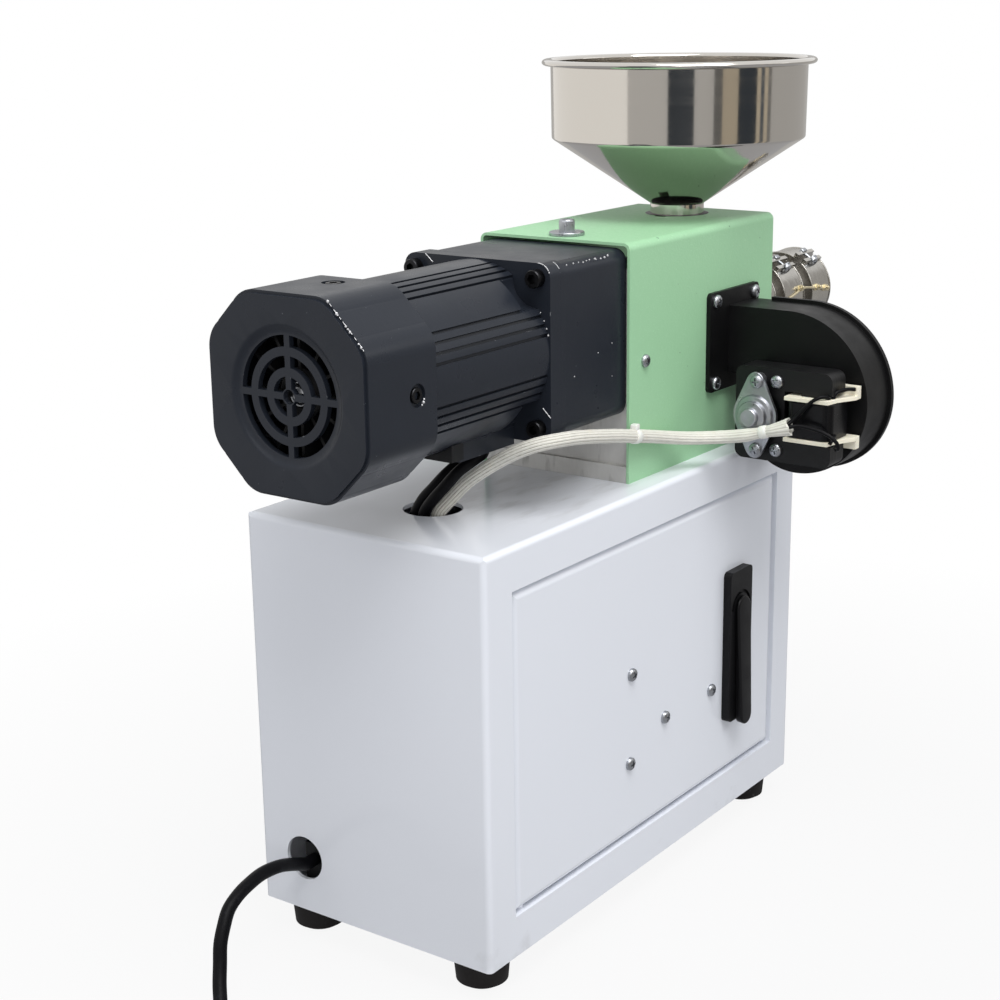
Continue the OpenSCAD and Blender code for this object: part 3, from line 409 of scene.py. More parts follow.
def lathe(bm, profile, matrix, steps=48):
    """Turns a profile of (radius, height) points round local Z. A radius of 0 closes it."""
    rings = []
    for r, h in profile:
        if r == 0:
            rings.append([bm.verts.new(matrix @ Vector((0, 0, h)))])
        else:
            rings.append([bm.verts.new(matrix @ Vector((
                r * math.cos(2 * math.pi * k / steps), r * math.sin(2 * math.pi * k / steps), h)))
                for k in range(steps)])
    for a, b in zip(rings, rings[1:]):
        for k in range(steps):
            n = (k + 1) % steps
            if len(a) == 1:
                bm.faces.new((a[0], b[k], b[n]))
            elif len(b) == 1:
                bm.faces.new((a[k], b[0], a[n]))
            else:
                bm.faces.new((a[k], b[k], b[n], a[n]))


def prism(bm, outline, height, matrix, soft=0.0, segments=2):
    """Pushes an outline of (x, y) points up to a height and softens its edges."""
    own = bmesh.new()
    low = [own.verts.new((x, y, 0)) for x, y in outline]
    high = [own.verts.new((x, y, height)) for x, y in outline]
    own.faces.new(low[::-1])
    own.faces.new(high)
    count = len(outline)
    for k in range(count):
        n = (k + 1) % count
        own.faces.new((low[k], low[n], high[n], high[k]))
    if soft:
        rims = [e for e in own.edges if len({round(v.co.z, 6) for v in e.verts}) == 1]
        bmesh.ops.bevel(own, geom=rims, offset=soft, segments=segments, affect="EDGES", profile=0.5)
    mesh = bpy.data.meshes.new("drawn")
    own.to_mesh(mesh)
    own.free()
    add_mesh(bm, mesh, matrix)
    bpy.data.meshes.remove(mesh)


def smooth(points, steps):
    """Points on one smooth curve through the given points."""
    p = [Vector(q) for q in points]
    out = []
    for i in range(len(p) - 1):
        a, b, c, d = p[max(i - 1, 0)], p[i], p[i + 1], p[min(i + 2, len(p) - 1)]
        for s in range(steps):
            t = s / steps
            out.append(b + t * ((c - a) / 2 + t * ((2 * a - 5 * b + 4 * c - d) / 2
                                                   + t * (3 * b - a - 3 * c + d) / 2)))
    return out + [p[-1]]


def frames(path):
    """Point, normal, side and way at each point of a path, without twist."""
    count = len(path)
    normal = Vector((0.1, 1.0, 0.05))
    out = []
    for i, p in enumerate(path):
        way = (path[min(i + 1, count - 1)] - path[max(i - 1, 0)]).normalized()
        normal = (normal - way * normal.dot(way)).normalized()
        out.append((p, normal, way.cross(normal), way))
    return out


def skin(bm, rings):
    """Joins rings of points into a closed tube and gives the faces of each row."""
    made = [[bm.verts.new(p) for p in ring] for ring in rings]
    rows = []
    for a, b in zip(made, made[1:]):
        rows.append([bm.faces.new((a[k], b[k], b[(k + 1) % len(a)], a[(k + 1) % len(a)]))
                     for k in range(len(a))])
    bm.faces.new(made[0])
    bm.faces.new(made[-1])
    return rows


def sweep(bm, path, section, sides=16):
    """Sweeps a section along a path. section(i, angle) gives the radius in the path's unit."""
    angles = [2 * math.pi * k / sides for k in range(sides)]
    skin(bm, [[p + section(i, a) * (math.cos(a) * normal + math.sin(a) * side) for a in angles]
              for i, (p, normal, side, _) in enumerate(frames(path))])


def wire(bm, points, r, sides):
    """Sweeps a round wire of radius r through points of the cabinet frame."""
    sweep(bm, [at(*p) for p in points], lambda i, a: MM * r, sides)


def circle(r, count=32, start=0.0):
    return [(r * math.cos(start + 2 * math.pi * k / count), r * math.sin(start + 2 * math.pi * k / count))
            for k in range(count)]


def rounded(w, h, r, count=6):
    """Outline of a centred rectangle with round corners."""
    out = []
    for cx, cy, start in ((w / 2 - r, h / 2 - r, 0), (r - w / 2, h / 2 - r, 90),
                          (r - w / 2, r - h / 2, 180), (w / 2 - r, r - h / 2, 270)):
        for k in range(count + 1):
            a = math.radians(start + 90 * k / count)
            out.append((cx + r * math.cos(a), cy + r * math.sin(a)))
    return out


def drawn(build):
    """A mesh in millimetres, for copying."""
    bm = bmesh.new()
    build(bm)
    bmesh.ops.recalc_face_normals(bm, faces=bm.faces)
    mesh = bpy.data.meshes.new("drawn")
    bm.to_mesh(mesh)
    bm.free()
    return mesh


def cut(mesh, cutter):
    """The first mesh less the second."""
    a = bpy.data.objects.new("body", mesh)
    b = bpy.data.objects.new("cutter", cutter)
    for o in (a, b):
        COLLECTION.objects.link(o)
    mod = a.modifiers.new("cut", "BOOLEAN")
    mod.object = b
    mod.solver = "EXACT"
    bpy.context.view_layer.update()
    done = bpy.data.meshes.new_from_object(a.evaluated_get(bpy.context.evaluated_depsgraph_get()))
    for o in (a, b):
        bpy.data.objects.remove(o)
    return done


# fasteners, drawn once in millimetres with a head of diameter 10 that stands on z = 0
UNIT = Matrix.Identity(4)


def pan_profile(bm):
    lathe(bm, [(0, 0), (5, 0), (5, 1.2), (4.85, 1.9), (4.3, 2.7), (3.2, 3.3), (1.6, 3.62), (0, 3.7)],
          UNIT, 40)


def arm_cutter(spin):
    """One arm of a cross recess."""
    def build(bm):
        m = Matrix.Rotation(math.radians(spin), 4, "Z") @ Matrix.Translation((0, 0, 1.7))
        prism(bm, [(-2.9, -0.62), (2.9, -0.62), (2.9, 0.62), (-2.9, 0.62)], 3.0, m)
    return build


def socket_profile(bm):
    lathe(bm, [(0, 0), (5, 0), (5, 5.2), (4.6, 5.8), (0, 5.8)], UNIT, 40)


PAN = cut(cut(drawn(pan_profile), drawn(arm_cutter(0))), drawn(arm_cutter(90)))
SOCKET = cut(drawn(socket_profile), drawn(
    lambda bm: prism(bm, circle(2.9, 6), 4.0, Matrix.Translation((0, 0, 2.6)))))


def screws(name, mesh, places, material, slot, body="machine"):
    """One piece of several screw heads: each place is (point, axis, diameter, spin)."""
    bm = bmesh.new()
    for point, axis, d, spin in places:
        add_mesh(bm, mesh, turned(point, axis, spin) @ Matrix.Scale(d / 10, 4))
    return piece(name, bm, material, slot, body, 30.0)


# mains lead, first because the space that it takes has a limit
LEAD_D = 7.0
FLOOR = -18.0
hang = [
    (6, 118, 28), (2, 118, 28), (-2, 118, 28), (-12, 118, 32), (-24, 117, 36), (-36, 117, 37),
    (-47, 116, 36), (-56, 115, 34), (-64, 114, 30), (-70, 112, 24), (-75, 110, 17), (-79, 107, 9),
    (-84, 103, 1), (-90, 97, -7), (-97, 90, -11.7), (-105.5, 82, -13.8), (-115, 72.5, -14.35),
    (-124.7, 61.9, -14.35), (-134.5, 51.1, -14.35), (-144.3, 40.2, -14.35)
]
COIL_AT = (-110.0, 10.0)
COLUMNS = (45.7, 38.5, 31.3)
LAYERS = (FLOOR + 3.6, FLOOR + 10.75)
START_DEG, TURNS_DEG = 138.6, 1931.4
IN_DEG, IN_SPAN = (190, 550), 160
OUT_DEG, OUT_SPAN = (1185, 1545), 150
CLIMB_DEG, CLIMB_SPAN = 865, 150


def ease(t):
    t = min(max(t, 0.0), 1.0)
    return t * t * (3 - 2 * t)


def coil_point(deg):
    """A point of the coil: three turns inwards below, then outwards on top of them."""
    inward = sum(ease((deg - start) / IN_SPAN) for start in IN_DEG)
    outward = sum(ease((deg - start) / OUT_SPAN) for start in OUT_DEG)
    r = COLUMNS[0] - (COLUMNS[0] - COLUMNS[1]) * (inward - outward)
    z = LAYERS[0] + (LAYERS[1] - LAYERS[0]) * ease((deg - CLIMB_DEG) / CLIMB_SPAN)
    a = math.radians(START_DEG + deg)
    return Vector((COIL_AT[0] + r * math.cos(a), COIL_AT[1] + r * math.sin(a), z))


STEP_DEG = 15
coil = [coil_point(d) for d in range(STEP_DEG, int(TURNS_DEG), STEP_DEG)] + [coil_point(TURNS_DEG)]
tail = [Vector((COIL_AT[0] + 14, COIL_AT[1] - COLUMNS[0], LAYERS[1] - 0.6)),
        Vector((COIL_AT[0] + 34, COIL_AT[1] - COLUMNS[0], FLOOR + 8.6))]
lead_path = smooth(hang, 4) + coil + tail


def lead_curve(name, path, d, material):
    """A round lead as one open spline."""
    data = bpy.data.curves.new(name, "CURVE")
    data.dimensions = "3D"
    data.bevel_depth = d / 2 * MM
    data.bevel_resolution = 5
    data.use_fill_caps = True
    spline = data.splines.new("POLY")
    spline.points.add(len(path) - 1)
    for point, p in zip(spline.points, path):
        point.co = (*at(*p), 1.0)
    data.materials.append(material)
    obj = bpy.data.objects.new(name, data)
    COLLECTION.objects.link(obj)
    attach(obj, "machine")
    return obj


mains = lead_curve("mains_lead_cable", lead_path, LEAD_D, MAT["lead_rubber"])
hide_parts("mains_lead", "lead_coil")

PLUG_AT = (COIL_AT[0] + 26, COIL_AT[1] - COLUMNS[0], FLOOR + 8.5)
PLUG_L = 62


def plug_shape(bm):
    """Moulded plug lying on the floor: a ribbed tail and a waisted body."""
    x0, y, mid = PLUG_AT
    profile = [(0, 0.0), (4.0, 0.0)]
    for k in range(6):
        x, r = 1.0 + 4.1 * k, 4.1 + 0.16 * k
        profile += [(r + 0.5, x), (r + 0.5, x + 2.4), (r - 0.3, x + 2.9), (r - 0.3, x + 3.9)]
    profile += [(5.0, 26.0), (0, 26.0)]
    lathe(bm, profile, turned(at(x0, y, mid), X), 24)
    rows = [(25.0, 12.0, 11.0), (30.0, 21.0, 14.0), (36.0, 29.0, 15.6), (42.0, 31.5, 16.4),
            (50.0, 31.0, 16.4), (57.0, 32.4, 16.8), (61.5, 32.8, 16.8), (PLUG_L, 31.6, 15.8)]
    skin(bm, [[at(x0 + x, y + u, mid + v) for u, v in rounded(w, h, min(w, h) * 0.36, 5)]
              for x, w, h in rows])


def plug_pins(bm):
    """Two flat pins, set at an angle to each other."""
    x, y, mid = PLUG_AT
    for side in (-1, 1):
        m = turned(at(x + PLUG_L, y + side * 6.5, mid), X, 90 + side * 30)
        prism(bm, rounded(6.0, 1.6, 0.3, 2), 17.6, m, 0.4)


plug = built("lead_plug_moulding", plug_shape, MAT["lead_rubber"], "lead_rubber")
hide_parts("lead_plug")
pins = built("lead_plug_pins", plug_pins, BRASS, "lead_rubber")

TIE_DEG, TIE_W, TIE_T = 20.0, 4.2, 0.9
out = Vector((math.cos(math.radians(TIE_DEG)), math.sin(math.radians(TIE_DEG)), 0))
along = Z.cross(out)
centre = Vector((*COIL_AT, FLOOR + 7.55)) + out * COLUMNS[1]
loop = rounded(23.0, 15.0, 3.6, 5)
bm = bmesh.new()
rings = []
for k, (u, v) in enumerate(loop):
    before, after = Vector(loop[k - 1]), Vector(loop[(k + 1) % len(loop)])
    way = (after - before).normalized()
    away = Vector((way.y, -way.x)) * TIE_T
    rings.append([bm.verts.new(at(*(centre + out * (u + f * away.x) + Z * max(v + f * away.y, -7.5)
                                    + along * side * TIE_W / 2)))
                  for side, f in ((-1, 0), (-1, 1), (1, 1), (1, 0))])
for k in range(len(rings)):
    a, b = rings[k - 1], rings[k]
    for n in range(4):
        bm.faces.new((a[n], b[n], b[(n + 1) % 4], a[(n + 1) % 4]))
prism(bm, rounded(6.0, 5.4, 0.8, 3), 4.2, turned(at(*(centre + Z * 7.4 + out * 4)), Z, TIE_DEG), 0.5)
tie = piece("lead_coil_tie", bm, TIE, "lead_rubber")


# leads on top of the cabinet, on the same points as their solids
SLEEVE_ROUTE = (
    (53.5, 68.0, 211.0), (54.0, 67.0, 215.2), (59.0, 62.9, 221.8), (61.8, 55.8, 229.8), (63.1, 47.7, 236.2),
    (65.2, 38.7, 242.3), (66.7, 28.9, 248.0), (69.6, 19.0, 252.4), (77.5, 12.5, 253.9), (95.4, 10.0, 252.4),
    (124.9, 10.3, 247.1), (140.6, 11.0, 243.8), (156.0, 11.1, 240.6), (170.5, 10.8, 237.4),
    (182.8, 9.0, 234.7), (192.9, 5.5, 232.8), (199.6, 0.0, 232.2), (208.5, -10.5, 232.3),
    (210.8, -21.5, 234.1), (212.2, -31.0, 236.7), (212.7, -38.5, 238.9), (214.3, -46.0, 241.2))
MOTOR_ROUTES = (
    ((66.8, 58.3, 247.7), (66.8, 58.3, 246.2), (66.1, 58.8, 243.6), (64.1, 60.1, 240.8), (60.7, 62.0, 237.9),
     (56.0, 65.5, 233.2), (52.7, 69.5, 227.6), (50.0, 74.0, 221.8), (49.1, 78.0, 215.1), (48.9, 79.5, 210.5)),
    ((66.2, 48.1, 247.7), (66.2, 48.1, 246.2), (65.3, 48.6, 244.7), (62.8, 49.8, 243.3), (58.7, 51.6, 241.1),
     (53.9, 55.3, 236.9), (50.1, 60.5, 229.8), (47.2, 66.0, 222.8), (46.8, 71.0, 216.2), (47.4, 72.6, 210.5)))
SLEEVE_R, CORDS, MOTOR_LEAD_R = 3.45, 13, 3.0
CORD_SHAPE = ((0.0, -0.05), (0.1, -0.01), (0.3, 0.022), (0.5, 0.03), (0.7, 0.022), (0.9, -0.01))
TIE_BACK = 15.7
TIE_SHAPE = ((-2.3, -0.4), (-2.2, 0.55), (-1.7, 0.95), (0, 1.05), (1.7, 0.95), (2.2, 0.55), (2.3, -0.4))
sleeve_line = smooth(SLEEVE_ROUTE, 8)
sleeve_left = [0.0]
for a, b in zip(sleeve_line[:0:-1], sleeve_line[-2::-1]):
    sleeve_left.append(sleeve_left[-1] + (a - b).length)
sleeve_left.reverse()


def sleeve_swell(left):
    """Radius of the sleeve by the length that is left: tied in before its end, then spread out."""
    if left < TIE_BACK - 2:
        return 0.84 + 0.5 * (1 - left / (TIE_BACK - 2)) ** 1.25
    return 0.84 + 0.16 * ease((left - TIE_BACK - 2) / 8)


def sleeve_mesh(bm):
    """Tube of lengthwise cords with narrow seams, open and frayed at its far end."""
    steps = frames(sleeve_line)
    count = len(steps)
    fray = [random.uniform(-0.5, 1.3) for _ in range(CORDS)]
    rings = []
    for i, (p, normal, side, way) in enumerate(steps):
        ring = []
        swell = SLEEVE_R * sleeve_swell(sleeve_left[i])
        for c in range(CORDS):
            for share, deep in CORD_SHAPE:
                a = 2 * math.pi * (c + share) / CORDS + 0.004 * i
                r = swell * (1 + deep + 0.008 * math.sin(1.7 * i + 2.1 * c)) * (1 + 0.05 * math.cos(2 * a))
                push = fray[c] if i == count - 1 else 0.0
                ring.append(at(*(p + r * (math.cos(a) * normal + math.sin(a) * side) + way * push)))
        rings.append(ring)
    for i in range(count - 1, count - 14, -1):
        p, normal, side, way = steps[i]
        r = SLEEVE_R * sleeve_swell(sleeve_left[i]) * 0.82
        sides = len(rings[0])
        rings.append([at(*(p + r * (math.cos(2 * math.pi * k / sides) * normal
                                    + math.sin(2 * math.pi * k / sides) * side))) for k in range(sides)])
    made = skin(bm, rings)
    for row in made[:count - 1]:
        for k, face in enumerate(row):
            if k % len(CORD_SHAPE) in (0, len(CORD_SHAPE) - 1):
                face.material_index = 1


sleeve = built("braided_sleeve_tube", sleeve_mesh, MAT["braid"], "braid", sharp=70.0)
sleeve.data.materials.append(SEAMS)
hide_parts("braided_sleeve")


def nearest(line, point):
    return min(range(len(line)), key=lambda i: (line[i] - Vector(point)).length)


def sleeve_ties(bm):
    """Narrow bands round the sleeve: one with its head on top, one that ties in the end."""
    for place, grow, head in (((150.4, 11.0, 241.8), 0.75, True), ((212.25, -31.6, 236.9), 0.7, False)):
        i = nearest(sleeve_line, place)
        p, normal, side, way = frames(sleeve_line)[i]
        base = SLEEVE_R * sleeve_swell(sleeve_left[i])
        rings = []
        for offset, more in TIE_SHAPE:
            r = base + grow * more
            rings.append([at(*(p + way * offset + r * (math.cos(a) * normal + math.sin(a) * side)))
                          for a in (2 * math.pi * k / 40 for k in range(40))])
        skin(bm, rings)
        if head:
            prism(bm, rounded(4.8, 4.2, 0.9, 3), 3.2, turned(at(*(p + Z * (base - 0.2))), Z, 10), 0.6)


built("sleeve_ties", sleeve_ties, TIE, "braid")

bm = bmesh.new()
for route in MOTOR_ROUTES:
    wire(bm, smooth(route, 5), MOTOR_LEAD_R, 24)
leads = piece("motor_lead_cables", bm, MAT["lead_rubber"], "lead_rubber")
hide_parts("motor_leads")

# leads of the blower's coil: out of the sleeve, over and under the bobbin
WIRE_R = 1.05
WIRE_ROUTES = (
    ((214.0, -44.5, 241.6), (216.5, -46.0, 243.6), (218.5, -48.5, 246.8), (220.0, -52.0, 251.0),
     (221.2, -55.5, 254.8), (222.8, -58.6, 256.9), (225.0, -60.9, 257.2), (227.0, -62.0, 256.4),
     (228.0, -62.4, 254.0)),
    ((230.5, -63.6, 253.5), (231.0, -63.6, 256.6), (232.5, -64.4, 258.6), (236.0, -66.0, 259.4),
     (240.0, -67.6, 259.6), (244.0, -69.4, 259.0)),
    ((214.0, -45.5, 240.8), (216.0, -48.0, 241.4), (217.5, -52.0, 241.6), (218.5, -58.0, 240.7),
     (219.2, -63.6, 239.3), (219.8, -68.4, 237.0), (220.4, -71.2, 234.2), (221.6, -71.6, 231.2),
     (224.0, -69.6, 229.6), (226.5, -67.5, 229.9)),
    ((221.6, -66.4, 232.6), (222.6, -66.8, 233.9), (225.0, -66.8, 235.2), (228.5, -66.0, 236.0)))
bm = bmesh.new()
for route in WIRE_ROUTES:
    wire(bm, smooth(route, 6), WIRE_R, 14)
piece("blower_wires", bm, BLACK_WIRE, "coil_tape")

# hopper: one spun sheet with a rolled rim, and a thin black ring round its neck, which is painted shade for
# the dark gap there
# points close to an edge of the profile hold its shading
hopper_box = [(c - ORIGIN) / MM for c in map(Vector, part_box("hopper"))]
HOPPER_AT = ((hopper_box[0].x + hopper_box[1].x) / 2, (hopper_box[0].y + hopper_box[1].y) / 2)
R_TOP, R_LOW, R_NECK, R_SHADE_RING, SHEET = 73.0, 72.5, 15.5, 18.3, 1.2
Z_NECK, Z_FOOT, Z_CONE, Z_SHOULDER, Z_RIM = 290.0, 342.5, 348.5, 386.0, 428.5
RIM_OUT, RIM_UP = 2.8, 1.85
outside = [(R_NECK - SHEET, Z_NECK), (R_NECK, Z_NECK), (R_NECK, Z_FOOT - 1.0), (R_NECK, Z_FOOT),
           (R_NECK, Z_FOOT + 2.0), (R_NECK, Z_CONE - 2.0), (R_NECK, Z_CONE - 0.6), (R_NECK, Z_CONE - 0.3),
           (R_NECK, Z_CONE - 0.12), (R_NECK + 0.1, Z_CONE)]
neck_rows = len(outside)
cone_a, cone_b = Vector((R_NECK, Z_CONE)), Vector((R_LOW, Z_SHOULDER))
outside += [tuple(cone_a.lerp(cone_b, t)) for t in (0.008, 0.02, 0.2, 0.4, 0.6, 0.8, 0.95, 0.97)]
outside += [(R_LOW - 0.75, Z_SHOULDER - 0.45), (R_LOW - 0.2, Z_SHOULDER + 0.1), (R_LOW, Z_SHOULDER + 0.8)]
outside += [(R_LOW + (R_TOP - R_LOW) * t, Z_SHOULDER + t * (Z_RIM - Z_SHOULDER))
            for t in (0.035, 0.06, 0.3, 0.6, 0.85, 0.94)]
rim_centre = R_TOP + RIM_OUT - SHEET / 2
rim = [(rim_centre + RIM_OUT * math.cos(math.radians(d)), Z_RIM + RIM_UP * math.sin(math.radians(d)))
       for d in range(-150, 181, 22)]
inside = [(R_TOP - SHEET, Z_RIM)] + [(r - SHEET, h) for r, h in outside[:neck_rows - 1:-1]]
inside.append((R_NECK - SHEET, Z_CONE))
bm = bmesh.new()
lathe(bm, outside + rim + inside + [outside[0]],
      Matrix.Translation(at(*HOPPER_AT, 0)) @ Matrix.Scale(MM, 4), 160)
bmesh.ops.remove_doubles(bm, verts=bm.verts, dist=1e-7)
hopper = piece("hopper_spun", bm, MAT["spun_steel"], "spun_steel", sharp=30.0)
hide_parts("hopper")
# painted shade: a thin black ring on the housing round the neck, standing for the dark gap and contact shadow
bm = bmesh.new()
lathe(bm, [(R_NECK - 0.3, 0.02), (R_SHADE_RING - 0.2, 0.02), (R_SHADE_RING, 0.1), (R_SHADE_RING - 0.2, 0.2),
           (R_NECK + 0.6, 0.26), (R_NECK - 0.3, 0.3), (R_NECK - 0.3, 0.02)],
      turned(at(*HOPPER_AT, Z_FOOT), Z), 96)
bmesh.ops.remove_doubles(bm, verts=bm.verts, dist=1e-7)
piece("hopper_neck_shade_ring", bm, BLACK_WIRE, "rubber_feet")

# screws: each place is a point, the way the head looks, its diameter and its turn
MOTOR_Y, MOTOR_Z = 62.5, 295.5
screws("door_screws", PAN, [(at(x, 0.8, z), -Y, 7.2, s) for x, z, s in (
    (131.4, 116.4, 20), (166.3, 80.4, 65), (217.5, 79.7, 40), (130.0, 65.7, 5))],
    MAT["zinc_steel"], "zinc_steel", "door")
screws("housing_screws", PAN, [(at(166, 15.2, 279), -Y, 7.0, 35)], MAT["zinc_steel"], "zinc_steel")
screws("motor_bolts", SOCKET, [(at(81.6, MOTOR_Y + s * 37.6, MOTOR_Z + t * 37.6), -X, 9.0, 12 * s + 20 * t)
                               for s in (-1, 1) for t in (-1, 1)], BLACK_STEEL, "motor_paint")
POCKET_X, POCKET_OUT = -26.5, 42.6
screws("cover_screws", SOCKET, [(at(POCKET_X, MOTOR_Y, MOTOR_Z) + way * POCKET_OUT * MM, way, 7.4, spin)
                                for way, spin in ((-Y, 0), (Y, 25), (Z, 10), (-Z, 40))],
       BLACK_STEEL, "motor_paint")
ROTOR_Y, ROTOR_Z, BRACKET_X, BRACKET_REACH = -21.0, 243.0, 224.0, 19.0
screws("blower_screws", PAN, [(at(x, 12.6, z), -Y, 7.6, spin) for x, z, spin in (
    (237.6, 300.5, 20), (281.5, 300.5, 50), (237.6, 254.5, 75), (281.5, 254.5, 10))]
       + [(at(222.1, ROTOR_Y - 1.2, ROTOR_Z + BRACKET_REACH), -X, 7.4, 8),
          (at(222.1, ROTOR_Y - 1.2, ROTOR_Z - BRACKET_REACH), -X, 7.4, 30),
          (at(228.1, -31.4, 261.7), -X, 7.4, 55), (at(228.1, -31.6, 223.7), -X, 7.4, 15)],
       MAT["zinc_steel"], "zinc_steel")


def bolt_head(bm):
    """Knurled head of the housing's bolt."""
    lathe(bm, [(0, 1.9), (4.25, 1.9), (4.25, 7.3), (4.0, 7.9), (3.6, 8.4), (0, 8.4)], UNIT, 60)
    for v in bm.verts:
        angle = round(math.degrees(math.atan2(v.co.y, v.co.x)) / 6)
        if v.co.xy.length > 4.2 and angle % 2:
            v.co.xy *= 0.955


def bolt_washer(bm):
    lathe(bm, [(0, 0), (9.2, 0), (9.5, 0.3), (9.5, 1.6), (9.1, 2.0), (0, 2.0)], UNIT, 56)


BOLT = cut(drawn(bolt_head), drawn(
    lambda bm: prism(bm, circle(2.4, 6), 5.0, Matrix.Translation((0, 0, 4.6)))))
BOLT_AT = at(163.5, MOTOR_Y, Z_FOOT)
bm = bmesh.new()
add_mesh(bm, BOLT, turned(BOLT_AT, Z, 12))
add_mesh(bm, drawn(bolt_washer), turned(BOLT_AT, Z))
bolt = piece("housing_bolt_knurled", bm, MAT["zinc_steel"], "zinc_steel", sharp=30.0)
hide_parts("housing_bolt")


def bearing_bracket(bm):
    """Cast diamond plate on two posts with a stepped boss, drawn to look along -X from its back."""
    waist, tip, reach, back = 13.0, 5.0, BRACKET_REACH, 2.0
    lean = math.degrees(math.asin((waist - tip) / reach))
    outline = []
    for cy, r, a, b in ((reach, tip, lean, 180 - lean), (0, waist, 180 - lean, 180 + lean),
                        (-reach, tip, 180 + lean, 360 - lean), (0, waist, 360 - lean, 360 + lean)):
        for k in range(13):
            d = math.radians(a + (b - a) * k / 12)
            outline.append((r * math.cos(d), cy + r * math.sin(d)))
    frame_at = turned(at(BRACKET_X, ROTOR_Y, ROTOR_Z), -X)
    prism(bm, outline[:-1], back, frame_at, 0.5, 3)
    for s in (-1, 1):
        post = turned(at(BRACKET_X, ROTOR_Y, ROTOR_Z + s * reach), X)
        lathe(bm, [(0, -0.5), (4, -0.5), (4, 4), (0, 4)], post, 28)
    boss = ((0, -0.4), (11.6, -0.4), (11.6, 0), (11.2, 0.9), (10.8, 1.7), (10.1, 2.0), (9.2, 2.0), (8.6, 2.3),
            (8.5, 2.8), (8.5, 4.1), (8.1, 4.8), (7.4, 5.0), (5.6, 5.0), (5.1, 5.3), (5.0, 5.9), (5.0, 7.3),
            (4.6, 7.9), (3.8, 8.0), (1.8, 7.7), (0, 7.7))
    lathe(bm, [(r, back + h) for r, h in boss], frame_at, 64)


bracket = built("bearing_bracket_cast", bearing_bracket, CAST_ZINC, "zinc_steel", sharp=32.0)
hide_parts("bearing_bracket")

# heater bands: clamp screws with square nuts over each split, edge beads and terminals
BARREL_Y, BARREL_Z, BAND_R, BAND_W, SPLIT_DEG = 62.5, 279.5, 24.5, 26.0, 124.0
BAND_STARTS = (333.0, 370.0, 407.0)
CLAMP_R, BEAD_R, LINK_R = BAND_R + 1.2, 0.55, 0.75
split = math.radians(SPLIT_DEG)
split_out = Vector((0, math.cos(split), math.sin(split)))
split_side = Vector((0, -math.sin(split), math.cos(split)))


def on_band(x, radial, sideways):
    """A point by the split of a band."""
    return Vector((x, BARREL_Y, BARREL_Z)) + split_out * radial + split_side * sideways


def clamps(bm):
    """A square nut on one ear of each band, with the screw across the split."""
    for start in BAND_STARTS:
        x = start + BAND_W / 2
        nut = turned(at(*on_band(x, CLAMP_R, -3.2)), -split_side)
        prism(bm, rounded(5.8, 5.0, 1.0, 3), 3.0, nut, 0.7)
        rod = turned(at(*on_band(x, CLAMP_R, 0)), split_side)
        lathe(bm, [(0, -4.5), (1.2, -4.5), (1.2, 5.2), (0, 5.2)], rod, 18)
        collar = turned(at(*on_band(x, CLAMP_R, 3.2)), split_side)
        lathe(bm, [(0, 0), (3.9, 0), (4.0, 0.2), (4.0, 0.9), (3.8, 1.1), (0, 1.1)], collar, 32)


built("band_clamps", clamps, MAT["zinc_steel"], "zinc_steel")
screws("band_screws", PAN, [(at(*on_band(start + BAND_W / 2, CLAMP_R, 4.2)), split_side, 7.0, 30 * k + 12)
                            for k, start in enumerate(BAND_STARTS)], MAT["zinc_steel"], "zinc_steel")


def round_band(x, deg, radial):
    """A point round the barrel."""
    d = math.radians(deg)
    return Vector((x, BARREL_Y + radial * math.cos(d), BARREL_Z + radial * math.sin(d)))


def beads(bm):
    """Rolled edges of the bands, open at the split."""
    for start in BAND_STARTS:
        for x in (start + 0.5, start + BAND_W - 0.5):
            wire(bm, [round_band(x, SPLIT_DEG + d, BAND_R) for d in range(8, 353, 4)], BEAD_R, 10)


built("band_edges", beads, MAT["band_steel"], "band_steel")


def terminals(bm):
    """Brass terminal screws of the heaters on lugs, and the bare link between them."""
    for x, deg in ((390.0, 167), (412.5, 172), (424.0, 176)):
        way = (round_band(x, deg, 1) - round_band(x, deg, 0)).normalized()
        m = turned(at(*round_band(x, deg, BAND_R - 0.3)), way)
        prism(bm, rounded(6.4, 4.2, 1.8, 4), 1.1, m, 0.3)
        prism(bm, circle(2.1, 6), 1.8, m @ Matrix.Translation((0, 0, 1.0)), 0.25)
        lathe(bm, [(0, 2.6), (1.1, 2.6), (1.1, 3.9), (0.8, 4.2), (0, 4.2)], m, 16)
    link = [round_band(x, deg, BAND_R + r) for x, deg, r in (
        (373.5, 177, 0.5), (379, 175, 0.6), (385, 172, 0.7), (390, 169, 1.0), (396, 168, 1.2),
        (403, 170, 1.2), (409, 172, 1.1), (412.5, 173, 1.0), (418, 175, 0.9), (424, 178, 1.0),
        (429, 181, 0.6))]
    wire(bm, smooth(link, 4), LINK_R, 10)


built("band_terminals", terminals, BRASS, "band_steel")

# shaft end with its clip, seen through the grille
FAN_FACE, CLIP_R, CLIP_WIRE_R = -51.3, 5.4, 0.7
bm = bmesh.new()
lathe(bm, [(0, -4.4), (4.0, -4.4), (4.0, 1.2), (3.4, 1.9), (0, 1.9)],
      turned(at(FAN_FACE, MOTOR_Y, MOTOR_Z), -X), 32)
ring = [(FAN_FACE - 0.6, MOTOR_Y + CLIP_R * math.cos(a), MOTOR_Z + CLIP_R * math.sin(a))
        for a in map(math.radians, range(20, 341, 10))]
wire(bm, ring, CLIP_WIRE_R, 10)
piece("fan_shaft_clip", bm, MAT["zinc_steel"], "fan_plastic", "fan")


# wear of the motor's paint: bare metal along its edges, and painted highlights as light lines on the flange's
# corners and lip
COVER_EDGE_X, FLANGE_EDGE_X = -60.6, 81.4
FLANGE_Y, FLANGE_TOP, FLANGE_R = 17.5, 340.5, 7.0


